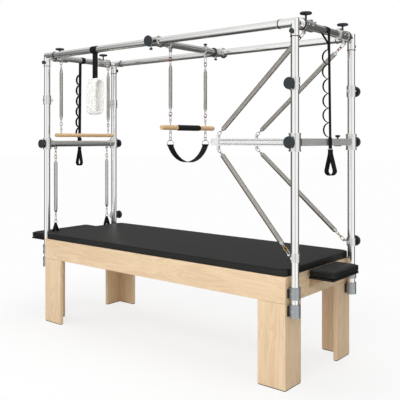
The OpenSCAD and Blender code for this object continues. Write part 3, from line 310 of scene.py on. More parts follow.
@dataclass(frozen=True)
class Timber(Finish):
    """Clear lacquered light wood with its grain along one axis."""

    grain: Axis
    light: Colour = (0.80, 0.61, 0.40)
    dark: Colour = (0.64, 0.44, 0.26)
    figure: float = 1.0

    def paint(self, g: Shader) -> None:
        """Set the surface's sockets."""
        flame = g.noise(1.6, 3.0, 0.9, g.place(self.grain.scale(7.0, 0.9)))
        rings = ((flame * 52.0).sine() * 0.5 + 0.5).step(0.25, 1.0)
        pores = g.noise(1.0, 3.0, vector=g.place(self.grain.scale(340.0, 9.0)))
        clouds = g.noise(1.0, 2.0, vector=g.place(self.grain.scale(11.0, 1.3)))
        tone = rings * 0.34 * self.figure + pores.step(0.5, 0.75) * 0.3
        tone = (tone + clouds.step(0.3, 0.75) * 0.3).least(1.0)
        colour = g.mix(tone, self.light, self.dark)
        g.set(Base_Color=colour, Roughness=0.36 + pores * 0.12, Coat_Weight=0.18, Coat_Roughness=0.2)
        g.bump(pores, 0.00012, 0.35)


@dataclass(frozen=True)
class Vinyl(Finish):
    """Soft black upholstery vinyl with a fine leather grain."""

    colour: Colour = (0.0105, 0.0112, 0.0100)

    def paint(self, g: Shader) -> None:
        """Set the surface's sockets."""
        place = g.place()
        cells = g.node("ShaderNodeTexVoronoi", {"feature": "DISTANCE_TO_EDGE"},
                       {"Vector": place, "Scale": 620.0}, out="Distance")
        creases = g.noise(260.0, 4.0, vector=place)
        cloud = g.noise(5.0, 3.0, vector=place)
        pale = tuple(c * 1.5 + 0.001 for c in self.colour)
        g.set(
            Base_Color=g.mix(cloud.step(0.35, 0.8) * 0.5, self.colour, pale),
            Roughness=0.40 + (cloud - 0.5) * 0.16 + cells.step(0.0, 0.25) * 0.05,
            Specular_IOR_Level=0.30,
        )
        g.bump(cells.step(0.0, 0.22) + creases * 0.9, 0.00022, 0.55)


@dataclass(frozen=True)
class Webbing(Finish):
    """Woven strap: ribs across its run, a herringbone along it, read from the strap's own run."""

    colour: Colour = (0.0055, 0.0055, 0.006)
    rib: float = 1100.0

    def paint(self, g: Shader) -> None:
        """Set the surface's sockets."""
        run, across, _ = g.parts(g.along())
        twill = ((run * self.rib * 2 + across.size() * self.rib * 2).sine() * 0.5 + 0.5)
        rib = (across * self.rib * 3).sine() * 0.5 + 0.5
        weave = twill * 0.7 + rib * 0.3
        fuzz = g.noise(420.0, 4.0)
        pale = tuple(c * 2.2 + 0.003 for c in self.colour)
        g.set(
            Base_Color=g.mix(weave * 0.5 + fuzz.step(0.45, 0.8) * 0.3, self.colour, pale),
            Roughness=0.72 + fuzz * 0.2,
            Specular_IOR_Level=0.18,
        )
        g.bump(weave + fuzz * 0.6, 0.0004, 0.7)


@dataclass(frozen=True)
class Fleece(Finish):
    """Cream white deep-pile fleece, with painted shade in the hollows of its pile and a faint painted glow."""

    colour: Colour = (0.95, 0.945, 0.92)

    def paint(self, g: Shader) -> None:
        """Set the surface's sockets."""
        clumps = g.noise(95.0, 4.0, 0.6)
        fibre = g.noise(900.0, 3.0)
        # painted shade: a darker copy of the fleece colour for the hollows of the pile
        deep = tuple(c * 0.88 for c in self.colour)
        g.set(
            # painted shade: darker where the clumps noise is low, the same places where the bump sinks into the
            # pile
            Base_Color=g.mix(clumps.step(0.62, 0.3) * 0.6, self.colour, deep),
            Roughness=0.88 + (fibre - 0.5) * 0.1,
            Sheen_Weight=0.6,
            # painted glow: the fleece emits a little of its own colour, which brightens it all over like extra
            # light
            Emission_Color=self.colour,
            Emission_Strength=0.07,
        )
        g.bump(clumps * 0.7 + fibre * 0.5, 0.002, 0.6)


RED: Colour = (0.30, 0.012, 0.012)
GOLD: Colour = (0.62, 0.40, 0.13)


# ---------------------------------------------------------------------------
# Meshes


def link(item: Object) -> Object:
    """Put an object in the scene."""
    bpy.context.scene.collection.objects.link(item)
    return item


def mesh_piece(name: str, build: Callable[[BMesh], None], materials: Sequence[Material],
               smooth: bool = True) -> Object:
    """Make an object whose mesh is filled by build.

    Args:
        name: the piece's name.
        build: fills a new BMesh, in metres from the middle of the wooden base.
        materials: the piece's material slots.
        smooth: shade its faces smooth.

    Returns:
        The object, at the origin.
    """
    bm = bmesh.new()
    build(bm)
    bmesh.ops.recalc_face_normals(bm, faces=bm.faces[:])
    bmesh.ops.translate(bm, verts=bm.verts[:], vec=MIDDLE)
    for face in bm.faces:
        face.smooth = smooth
    mesh = bpy.data.meshes.new(name)
    bm.to_mesh(mesh)
    bm.free()
    for material in materials:
        mesh.materials.append(material)
    return link(bpy.data.objects.new(name, mesh))


def bridge(bm: BMesh, rows: Sequence[Sequence[bmesh.types.BMVert]], closed: bool = True,
           loop: bool = False) -> None:
    """Join rows of vertices with quads; closed joins the ends of each row, loop the last row to the first."""
    count = len(rows[0])
    pairs = list(zip(rows, rows[1:])) + ([(rows[-1], rows[0])] if loop else [])
    for low, high in pairs:
        for i in range(count if closed else count - 1):
            j = (i + 1) % count
            bm.faces.new((low[i], low[j], high[j], high[i]))


@dataclass
class Ribbon:
    """Flat strap of one width swept along a path in a plane."""

    name: str
    path: list[Vector]
    across: Vector
    width: float
    thick: float
    loop: bool = False

    def build(self, material: Material) -> Object:
        """Return the strap as a closed mesh with its run in the UV map named run."""
        count = len(self.path)
        side = self.across.normalized()
        half_w, half_t = self.width / 2, self.thick / 2
        edge = min(half_t * 0.9, half_w * 0.3)
        near, far = half_w - edge * 0.35, half_w - edge
        top = [(half_w, 0.0), (near, half_t * 0.75), (far, half_t), (half_w * 0.4, half_t),
               (-half_w * 0.4, half_t), (-far, half_t), (-near, half_t * 0.75)]
        profile = [(-a, -t) for a, t in top] + top
        runs = [0.0]
        for low, high in zip(self.path, self.path[1:]):
            runs.append(runs[-1] + (high - low).length)

        def fill(bm: BMesh) -> None:
            """Sweep the profile and keep each vertex's run."""
            uv = bm.loops.layers.uv.new("run")
            mark = bm.verts.layers.float_vector.new("place")
            rows = []
            for i, here in enumerate(self.path):
                before = self.path[(i - 1) % count] if self.loop or i else here
                after = self.path[(i + 1) % count] if self.loop or i < count - 1 else here
                normal = side.cross((after - before).normalized()).normalized()
                row = []
                for a, t in profile:
                    vert = bm.verts.new(here + side * a + normal * t)
                    vert[mark] = (runs[i], a, 0)
                    row.append(vert)
                rows.append(row)
            bridge(bm, rows, loop=self.loop)
            if not self.loop:
                bm.faces.new(rows[0])
                bm.faces.new(rows[-1])
            for face in bm.faces:
                for corner in face.loops:
                    corner[uv].uv = corner.vert[mark][:2]
            bm.verts.layers.float_vector.remove(mark)

        return mesh_piece(self.name, fill, [material])


def arc(centre: Pair, radius: float, start: float, end: float, steps: int) -> list[Pair]:
    """Return points of a circular arc, angles in degrees."""
    angles = [math.radians(start + (end - start) * i / steps) for i in range(steps + 1)]
    return [(centre[0] + radius * math.cos(a), centre[1] + radius * math.sin(a)) for a in angles]


def bead(bm: BMesh, ring: Sequence[tuple[Vector, Vector, Vector]]) -> None:
    """Sweep a six-sided bead round a closed ring of middles, each with its two half axes."""
    bridge(bm, [[bm.verts.new(mid + side * math.cos(a) + rise * math.sin(a)) for a in HEXAGON]
                for mid, side, rise in ring], loop=True)


def revolve(name: str, x: float, z: float, stations: Sequence[Pair], material: Material) -> Object:
    """Turn a bar about the line along Y through x and z, from pairs of a place along it and a radius."""
    def fill(bm: BMesh) -> None:
        """Join one ring for each station and close the ends."""
        rows = [[bm.verts.new((x + r * math.cos(a), s, z + r * math.sin(a))) for a in ROUND]
                for s, r in stations]
        bridge(bm, rows)
        bm.faces.new(rows[0])
        bm.faces.new(rows[-1])

    return mesh_piece(name, fill, [material])


def join(name: str, pieces: Sequence[Object]) -> Object:
    """Join plain mesh pieces into the first one and name it."""
    first = pieces[0]
    with bpy.context.temp_override(active_object=first, object=first, selected_objects=list(pieces),
                                   selected_editable_objects=list(pieces)):
        bpy.ops.object.join()
    first.name = name
    return first


def soften(piece: Object, levels: int = 1) -> Object:
    """Give the piece a live subdivision of this many levels."""
    modifier = piece.modifiers.new("soft", "SUBSURF")
    modifier.levels = modifier.render_levels = levels
    return piece


def settle(piece: Object, body: str, node: str = "") -> None:
    """Put a finished piece in a CAD node's place, if it has one, and fix it to its body."""
    if node:
        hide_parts(node)
    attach(piece, body)


def dress(finish: Finish, *nodes: str) -> Material:
    """Give CAD nodes one material of a finish, and return it."""
    material = finish.build()
    for node in nodes:
        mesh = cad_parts[node].data
        mesh.materials.clear()
        mesh.materials.append(material)
    return material


# ---------------------------------------------------------------------------
# Geometry node tools


class GeoTool(Graph):
    """A Geometry Nodes tree with named sizes that ends in Realize Instances and Set Material."""

    def __init__(self, name: str, sizes: dict[str, float]) -> None:
        """Make the tree and its named inputs."""
        super().__init__(bpy.data.node_groups.new(name, "GeometryNodeTree"))
        face = self.tree.interface
        face.new_socket(name="Geometry", in_out="INPUT", socket_type="NodeSocketGeometry")
        face.new_socket(name="Geometry", in_out="OUTPUT", socket_type="NodeSocketGeometry")
        self.sizes = {
            key: face.new_socket(name=key, in_out="INPUT", socket_type="NodeSocketFloat") for key in sizes
        }
        self.defaults = sizes
        self.source = self.add("NodeGroupInput")

    def given(self, name: str) -> Sig:
        """Return one named size."""
        return Sig(self, self.source.outputs[name])

    def cylinder(self, sides: int, radius: Sig, depth: Sig) -> Sig:
        """Return a cylinder along Z about the origin."""
        inputs = {"Vertices": sides, "Radius": radius, "Depth": depth}
        return self.node("GeometryNodeMeshCylinder", inputs=inputs, out="Mesh")

    def close(self, geometry: Sig) -> "GeoTool":
        """End the tree after geometry."""
        real = self.add("GeometryNodeRealizeInstances", inputs={"Geometry": geometry})
        self.paint = self.add("GeometryNodeSetMaterial", inputs={"Geometry": real.outputs[0]})
        self.add("NodeGroupOutput", inputs={0: self.paint.outputs[0]})
        return self

    def run(self, name: str, material: Material, base: bpy.types.Mesh | None = None,
            place: Matrix | None = None, **sizes: float) -> Object:
        """Run the tree.

        Args:
            name: the finished piece's name.
            material: its material.
            base: the mesh that the tree starts from.
            place: moves the result.
            sizes: named inputs, with underscores for spaces.

        Returns:
            A plain mesh object without the modifier.
        """
        self.paint.inputs["Material"].default_value = material
        holder = link(bpy.data.objects.new(name + "_source", base or bpy.data.meshes.new(name + "_source")))
        modifier = holder.modifiers.new("made", "NODES")
        modifier.node_group = self.tree
        for key, socket in self.sizes.items():
            modifier[socket.identifier] = float(sizes.get(key.replace(" ", "_"), self.defaults[key]))
        bpy.context.view_layer.update()
        done = bpy.data.meshes.new_from_object(holder.evaluated_get(bpy.context.evaluated_depsgraph_get()))
        bpy.data.objects.remove(holder)
        if place is not None:
            done.transform(place)
        done.name = name
        if not done.materials:
            done.materials.append(material)
        done.polygons.foreach_set("use_smooth", [True] * len(done.polygons))
        return link(bpy.data.objects.new(name, done))


def coil_tool() -> GeoTool:
    """Return the tool that winds a spring along +Z with narrowed ends."""
    t = GeoTool("spring_winder", {"Turns": 60.0, "Radius": 0.014, "Wire": 0.0045, "Height": 0.4,
                                  "Low Taper": 0.02, "High Taper": 0.02, "Tip": 0.35})
    spiral = t.node("GeometryNodeCurveSpiral", inputs={
        "Resolution": 12, "Rotations": t.given("Turns"), "Start Radius": t.given("Radius"),
        "End Radius": t.given("Radius"), "Height": t.given("Height"),
    })
    where = t.node("GeometryNodeInputPosition")
    x, y, z = t.parts(where)
    low = (z / t.given("Low Taper")).least(1.0).most(0.0)
    high = ((t.given("Height") - z) / t.given("High Taper")).least(1.0).most(0.0)
    tip = t.given("Tip")
    share = tip + (1 - tip) * low.least(high)
    moved = t.node("ShaderNodeCombineXYZ", inputs={0: x * share, 1: y * share, 2: z})
    bent = t.node("GeometryNodeSetPosition", inputs={"Geometry": spiral, "Position": moved})
    ring = t.node("GeometryNodeCurvePrimitiveCircle", {"mode": "RADIUS"},
                  {"Resolution": 8, "Radius": t.given("Wire") * 0.5})
    flat = t.node("GeometryNodeTransform", inputs={"Geometry": ring, "Scale": (0.36, 1.0, 1.0)})
    held = t.node("GeometryNodeSetCurveNormal", {"mode": "Z_UP"}, {"Curve": bent})
    tube = t.node("GeometryNodeCurveToMesh", inputs={"Curve": held, "Profile Curve": flat, "Fill Caps": True})
    return t.close(tube)


def aimed_tool(name: str, part: Callable[[GeoTool], Sig], sizes: dict[str, float]) -> GeoTool:
    """Return a tool that sets a part on each point of a mesh, its +Z along the point's aim attribute."""
    t = GeoTool(name, sizes)
    aim = t.node("GeometryNodeInputNamedAttribute", {"data_type": "FLOAT_VECTOR"}, {"Name": "aim"})
    turn = t.node("FunctionNodeAlignRotationToVector", {"axis": "Z"}, {"Vector": aim})
    points = t.node("GeometryNodeMeshToPoints", inputs={"Mesh": t.given("Geometry")})
    return t.close(t.node("GeometryNodeInstanceOnPoints", inputs={
        "Points": points, "Instance": part(t), "Rotation": turn,
    }, out="Instances"))


def screw_part(t: GeoTool) -> Sig:
    """Return a socket-head screw: a round head with a chamfered rim and a hexagon cut into it."""
    rise, radius = t.given("Rise"), t.given("Radius")

    def lifted(part: Sig, share: float) -> Sig:
        """Return the part, raised by a share of the head's rise."""
        shift = t.node("ShaderNodeCombineXYZ", inputs={2: rise * share})
        return t.node("GeometryNodeTransform", inputs={"Geometry": part, "Translation": shift})

    rim = t.node("GeometryNodeMeshCone", inputs={
        "Vertices": 16, "Radius Top": radius * 0.8, "Radius Bottom": radius * 0.999, "Depth": rise * 0.4,
    }, out="Mesh")
    head = t.cylinder(16, radius, rise)
    whole = t.node("GeometryNodeMeshBoolean", {"operation": "UNION"}, {1: head}, out="Mesh")
    t.tree.links.new(lifted(rim, 0.49).socket, whole.socket.node.inputs[1])
    cut = {0: whole, 1: lifted(t.cylinder(6, radius * 0.52, rise * 1.2), 0.8)}
    return t.node("GeometryNodeMeshBoolean", {"operation": "DIFFERENCE"}, cut, out="Mesh")


def stitch_part(t: GeoTool) -> Sig:
    """Return one short rounded stitch lying along the X axis of its point."""
    return t.cylinder(6, t.given("Radius"), t.given("Rise"))


def marks(name: str, spots: Iterable[Spot]) -> bpy.types.Mesh:
    """Return a mesh of loose points, each with the direction its part stands in."""
    spots = list(spots)
    mesh = bpy.data.meshes.new(name)
    mesh.from_pydata([tuple(Vector(place) + MIDDLE) for place, _ in spots], [], [])
    aim = mesh.attributes.new("aim", "FLOAT_VECTOR", "POINT")
    aim.data.foreach_set("vector", [value for _, direction in spots for value in direction])
    return mesh


def row(start: Point, end: Point) -> list[Spot]:
    """Return stitches from start to end, each lying along the line."""
    start, run = Vector(start), Vector(end) - Vector(start)
    count = max(2, round(run.length / STITCH_STEP))
    way = run.normalized()
    return [(tuple(start + run * ((i + 0.5) / count)), tuple(way)) for i in range(count)]


# ---------------------------------------------------------------------------
# Sub-assemblies


@dataclass
class Studio:
    """Camera, lights, world and floor."""

    focal_px: float = 621.4
    image_px: int = 400
    horizon_px: float = 139.84
    camera_place: Point = (2.9627, -3.4347, 1.431)
    yaw_deg: float = 39.336
    sensor_mm: float = 36.0
    heading: Pair = (-0.634, 0.773)  # the camera's, in x and y
    dark_from: float = -0.30  # the dark half of the room that bare metal mirrors
    dark_to: float = 0.12
    dark_share: float = 0.87
    slit_share: float = 0.38
    soft_light: float = 0.54
    floor_glow: float = 0.985
    floor_near: float = 0.78

    def camera(self) -> None:
        """Make the level camera that the photograph's lines give."""
        data = bpy.data.cameras.new("camera")
        data.sensor_width = self.sensor_mm
        data.lens = self.focal_px / self.image_px * self.sensor_mm
        data.shift_y = (self.horizon_px - self.image_px / 2) / self.image_px
        data.clip_end = 200
        eye = link(bpy.data.objects.new("camera", data))
        eye.location = Vector(self.camera_place) + MIDDLE
        eye.rotation_euler = (math.radians(90), 0, math.radians(self.yaw_deg))
        bpy.context.scene.camera = eye

    def world(self) -> None:
        """Fill the surroundings: plain white to the eye, a soft bright room to the metal."""
        world = bpy.data.worlds.new("room")
        bpy.context.scene.world = world
        world.use_nodes = True
        g = Graph(world.node_tree)
        g.tree.nodes.clear()
        x, y, z = g.parts(g.node("ShaderNodeTexCoord", out="Generated"))
        hx, hy = self.heading
        ahead, across = x * hx + y * hy, (x * hy - y * hx).size()
        dark = ahead.step(self.dark_from, self.dark_to) * (1 - z.step(0.30, 0.75) * 0.8)
        slit = (1 - ahead.step(-0.9, -0.2)) * (1 - across.step(0.10, 0.34)) * (1 - z.size().step(0.25, 0.6))
        path = g.add("ShaderNodeLightPath")
        seen = Sig(g, path.outputs["Is Camera Ray"])
        gloss = Sig(g, path.outputs["Is Glossy Ray"])
        room = 1 - dark * self.dark_share - slit * self.slit_share
        strength = seen + (1 - seen) * (gloss * room + (1 - gloss) * self.soft_light)
        light = g.node("ShaderNodeBackground", inputs={"Color": (1, 1, 1, 1), "Strength": strength})
        g.add("ShaderNodeOutputWorld", inputs={0: light})

    def lamp(self, name: str, place: Point, size: float, power: float) -> None:
        """Add one soft area lamp that looks at the middle of the table."""
        data = bpy.data.lights.new(name, "AREA")
        data.size = size
        data.energy = power
        lamp = link(bpy.data.objects.new(name, data))
        lamp.location = Vector(place) + MIDDLE
        lamp.visible_glossy = False
        lamp.rotation_euler = (UP - Vector(place)).to_track_quat("-Z", "Y").to_euler()

    def floor(self) -> None:
        """Lay the pale floor, which keeps the table's shadow."""
        def fill(bm: BMesh) -> None:
            """Make one large face."""
            bm.faces.new([bm.verts.new((x, y, 0)) for x, y in ((-40, -40), (40, -40), (40, 40), (-40, 40))])

        g = Shader("pale_floor")
        g.set(Base_Color=(0.9, 0.9, 0.9), Roughness=0.8, Specular_IOR_Level=0.0)
        glow = g.node("ShaderNodeEmission", inputs={"Color": (1, 1, 1, 1), "Strength": self.floor_glow})
        path = g.add("ShaderNodeLightPath")
        reach = g.node("ShaderNodeVectorMath", {"operation": "LENGTH"}, {0: g.place()}, out="Value")
        far = reach.step(1.5, 2.6)
        white = Sig(g, path.outputs["Is Camera Ray"]) * (self.floor_near + far * (1 - self.floor_near))
        both = g.add("ShaderNodeMixShader", inputs={0: white, 1: g.surface.outputs[0], 2: glow})
        clear = g.node("ShaderNodeBsdfTransparent")
        gloss = Sig(g, path.outputs["Is Glossy Ray"])
        last = g.add("ShaderNodeMixShader", inputs={0: gloss, 1: both.outputs[0], 2: clear})
        g.tree.links.new(last.outputs[0], g.output.inputs[0])
        mesh_piece("floor", fill, [g.material], smooth=False)

    def build(self) -> None:
        """Build the whole studio."""
        bpy.context.scene.view_settings.view_transform = "Standard"
        self.camera()
        self.world()
        self.floor()
        self.lamp("key", (2.2, -4.0, 3.4), 2.6, 110)
        self.lamp("fill", (-3.6, -3.0, 2.6), 3.0, 50)
        self.lamp("top", (0.0, 0.6, 4.4), 3.4, 80)


@dataclass
class WoodBase:
    """The plywood rails and legs, board by board, and the panels under the cushions."""

    half_l: float = 1.105
    half_w: float = 0.405
    top: float = 0.650
    rail: float = 0.154
    leg_a: float = 0.190
    leg_b: float = 0.175
    board: float = 0.028
    glide: float = 0.005
    bevel: float = 0.0022
    seam: float = 0.0004

    def boards(self, name: str, boxes: Sequence[tuple[Point, Point, int]],
               materials: Sequence[Material]) -> Object:
        """Make rounded boards, each with the material of its grain."""
        def fill(bm: BMesh) -> None:
            """Add each board and round its edges."""
            for low, high, index in boxes:
                made = bmesh.ops.create_cube(bm, size=1.0)["verts"]
                for vert in made:
                    vert.co = Vector(l + (h - l) * (c + 0.5) for l, h, c in zip(low, high, vert.co))
                faces = {face for vert in made for face in vert.link_faces}
                edges = [edge for edge in bm.edges if edge.verts[0] in made]
                for face in faces:
                    face.material_index = index
                bmesh.ops.bevel(bm, geom=edges, offset=self.bevel, segments=3, affect="EDGES", profile=0.5,
                                clamp_overlap=True, material=-1)

        piece = mesh_piece(name, fill, materials)
        for face in piece.data.polygons:
            face.use_smooth = max(abs(part) for part in face.normal) < 0.9999
        return piece

    def build(self) -> None:
        """Build and dress the base."""
        along = [Timber(f"laminate_{axis.name.lower()}", axis).build() for axis in Axis]
        l, w, t, b, s = self.half_l, self.half_w, self.top, self.board, self.seam
        low = t - self.rail
        rails, legs = [], []
        for sx in (-1, 1):
            y = sorted((sx * w, sx * (w - b)))
            rails.append(((-l, y[0], low + s), (l, y[1], t), 0))
            x = sorted((sx * l, sx * (l - b)))
            rails.append(((x[0], -w + b + s, low + s), (x[1], w - b - s, t), 1))
            for sy in (-1, 1):
                for depth, outer, inner in ((self.leg_a, w, w - b), (b, w - b - s, w - self.leg_b)):
                    x, y = sorted((sx * l, sx * (l - depth))), sorted((sy * outer, sy * inner))
                    legs.append(((x[0], y[0], self.glide), (x[1], y[1], low - s), 2))
        for name, boxes, node in (("base_rail_boards", rails, "base_rails"),
                                  ("base_leg_boards", legs, "leg_posts")):
            settle(self.boards(name, boxes, along), "frame", node)
        dress(Timber("bare_ply", Axis.X, (0.66, 0.50, 0.32), (0.5, 0.34, 0.2), 0.6), "deck_panel")
        dress(Moulded("black_board", (0.006, 0.006, 0.0062), 0.5, 500.0), "pad_boards")
        dress(Moulded("glide_plastic", (0.02, 0.02, 0.022), 0.5), "leg_glides")
        dress(Moulded("sand_bracket", (0.50, 0.36, 0.22), 0.5, 500.0), "pad_brackets")
        dress(Moulded("black_plate", (0.015, 0.015, 0.016), 0.5), "socket_plates")


@dataclass
class Cushion:
    """A firm upholstered pad: crowned top, drawn-in seams, piping and a grained vinyl cover."""

    name: str
    node: str
    centre: Pair
    size: Pair
    bottom: float
    thick: float
    crown: float
    corner: float
    puff: bool = False
    wrinkle: float = 0.0012
    step: float = 0.02
    turn: int = 7
    cloth_frames: int = 20

    @property
    def steps(self) -> tuple[int, int]:
        """Return how many steps the long and the short straight sides have."""
        long, short = (max(4, int(side / self.step)) for side in self.size)
        return long, short

    def outline(self, inset: float, height: float) -> list[Vector]:
        """Return the rounded outline at an inset and a height, evenly stepped."""
        l, w = (side - 2 * inset for side in self.size)
        r = min(max(self.corner - inset, self.corner * 0.2), l / 2.05, w / 2.05)
        middles = [(sx * (l / 2 - r), sy * (w / 2 - r)) for sx, sy in ((1, 1), (-1, 1), (-1, -1), (1, -1))]
        points: list[Pair] = []
        for quarter, middle in enumerate(middles):
            end = 90 * (quarter + 1)
            points += arc(middle, r, 90 * quarter, end, self.turn)
            (x0, y0), (x1, y1) = points[-1], arc(middles[(quarter + 1) % 4], r, end, end, 1)[0]
            count = self.steps[quarter % 2]
            points += [(x0 + (x1 - x0) * f, y0 + (y1 - y0) * f) for f in (i / count for i in range(1, count))]
        return [Vector((self.centre[0] + x, self.centre[1] + y, self.bottom + height)) for x, y in points]

    def fill(self, bm: BMesh) -> None:
        """Fill the cushion's rows from its flat bottom to the middle of its crown."""
        h, c = self.thick, self.crown
        rows = [
            (0.030, 0.0), (0.012, 0.0), (0.0045, 0.001), (0.0015, 0.0035), (0.0004, h * 0.2), (0.0, h * 0.36),
            (0.0004, h * 0.52), (0.0002, h * 0.68), (0.0012, h * 0.80), (0.0035, h * 0.885), (0.0045, h * 0.90),
            (0.0050, h * 0.925), (0.0082, h * 0.965), (0.0140, h * 0.995), (0.024, h + c * 0.25),
        ]
        first, last = rows[-1][0], min(self.size) * 0.43
        for share in (0.08, 0.2, 0.36, 0.55, 0.78, 1.0):
            rows.append((first + (last - first) * share, h + c * (0.25 + 0.75 * (1 - (1 - share) ** 2))))
        made = [[bm.verts.new(v) for v in self.outline(*row)] for row in rows]
        bridge(bm, made)
        bm.faces.new(made[0])
        top, turn, (nx, ny) = made[-1], self.turn + 1, self.steps
        start = 3 * turn + nx + ny - 3
        far, near = top[turn - 1:turn + nx], top[start:start + nx + 1][::-1]
        for k in range(nx):
            bm.faces.new((far[k], far[k + 1], near[k + 1], near[k]))
        bm.faces.new(top[:turn] + near[:1] + top[start + nx + 1:])
        bm.faces.new(top[turn + nx - 1:start + 1])

    def swell(self, piece: Object, voxel: float, cap: float) -> None:
        """Puff the cover with a short cloth run whose points move no further than cap."""
        remesh = piece.modifiers.new("even", "REMESH")
        remesh.mode = "VOXEL"
        remesh.voxel_size = voxel
        self.apply(piece)
        before = np.array([v.co for v in piece.data.vertices])
        cloth = piece.modifiers.new("cloth", "CLOTH")
        cloth.settings.quality = 6
        cloth.settings.use_pressure = True
        cloth.settings.uniform_pressure_force = 4
        cloth.settings.effector_weights.gravity = 0
        cloth.point_cache.frame_end = self.cloth_frames
        scene = bpy.context.scene
        for tick in range(1, self.cloth_frames + 1):
            scene.frame_set(tick)
        self.apply(piece)
        shift = np.array([v.co for v in piece.data.vertices]) - before
        reach = np.linalg.norm(shift, axis=1, keepdims=True)
        shift *= np.minimum(1.0, cap / np.maximum(reach, 1e-9))
        shift[:, 2] = np.where(before[:, 2] < self.bottom + 0.004, np.maximum(shift[:, 2], 0), shift[:, 2])
        piece.data.vertices.foreach_set("co", (before + shift).ravel())
        piece.data.update()
        scene.frame_set(1)

    @staticmethod
    def apply(piece: Object) -> None:
        """Turn the piece's modifiers into its plain mesh."""
        bpy.context.view_layer.update()
        mesh = bpy.data.meshes.new_from_object(piece.evaluated_get(bpy.context.evaluated_depsgraph_get()))
        piece.modifiers.clear()
        piece.data = mesh

    def crumple(self, piece: Object) -> None:
        """Give the cover its faint hollows and the small puckers round its corners."""
        co = np.array([v.co for v in piece.data.vertices])
        x, y, z = co[:, 0] - self.centre[0] - MIDDLE.x, co[:, 1] - self.centre[1], co[:, 2] - self.bottom
        top = np.clip((z - self.thick * 0.55) / (self.thick * 0.45), 0, 1)
        slow = np.sin(x * 5.1 + 0.7) * np.sin(y * 7.3 + 1.9) + 0.5 * np.sin(x * 11.7 - y * 6.1)
        edge = np.minimum(self.size[0] / 2 - np.abs(x), self.size[1] / 2 - np.abs(y))
        near = np.clip(1 - edge / 0.05, 0, 1)
        angle = np.arctan2(y, x)
        corner = 1.0
        for place, side in ((x, self.size[0]), (y, self.size[1])):
            corner = corner * np.clip((np.abs(place) - side / 2 + 0.12) / 0.12, 0, 1)
        pucker = np.sin(x * 190) * np.sin(y * 170 + angle) * corner
        co[:, 2] += self.wrinkle * (0.5 * slow * top * (1 - near) + 0.35 * pucker * top)
        co[:, 2] += -0.25 * self.wrinkle * near * top * (1 + np.sin((x + y) * 75))
        piece.data.vertices.foreach_set("co", co.ravel())
        piece.data.update()

    def build(self, material: Material, slot: str) -> None:
        """Build the cushion and put it in its node's place."""
        piece = mesh_piece(self.name, self.fill, [material])
        if self.puff:
            self.swell(piece, 0.006, 0.005)
        self.crumple(piece)
        soften(piece)
        piece.data.polygons.foreach_set("use_smooth", [True] * len(piece.data.polygons))
        if not piece.data.materials:
            piece.data.materials.append(material)
        settle(piece, "frame", self.node)

    def piping(self, name: str, height: float, inset: float, radius: float, material: Material) -> None:
        """Lay a sewn welt round the cushion at a height."""
        def fill(bm: BMesh) -> None:
            """Sweep a small circle round the outline."""
            path = self.outline(inset, height)
            after = path[1:] + path[:1]
            bead(bm, [(here, (nxt - last).normalized().cross(UP) * radius, UP * radius)
                      for last, here, nxt in zip(path[-1:] + path, path, after)])

        settle(mesh_piece(name, fill, [material]), "frame")


@dataclass
class Upholstery:
    """The mattress and the two end pads."""

    def build(self) -> None:
        """Build the three cushions and their seams."""
        cover, dark = Vinyl("mattress_vinyl").build(), Vinyl("pad_vinyl", (0.0045, 0.0048, 0.0046)).build()
        mattress = Cushion("mattress_cover", "mattress", (0, 0), (2.210, 0.818), 0.650, 0.046, 0.006, 0.048,
                           wrinkle=0.0016)
        mattress.build(cover, "vinyl_mat")
        mattress.piping("mattress_welt_top", 0.0405, 0.0030, 0.0016, dark)
        mattress.piping("mattress_welt_low", 0.0050, 0.0014, 0.0014, dark)
        pads = [Cushion(f"{kind}_pad_cover", node, (x, 0), size, 0.618, 0.040, 0.005, 0.026, True, step=step)
                for kind, node, x, size, step in (("small", "right_pad", 1.202, (0.176, 0.350), 0.012),
                                                  ("wide", "left_pad", -1.279, (0.330, 0.600), 0.014))]
        for pad in pads:
            pad.build(dark, "vinyl_pad")
        for pad in pads:
            pad.piping(pad.name.replace("cover", "welt"), 0.0352, 0.0026, 0.0014, dark)


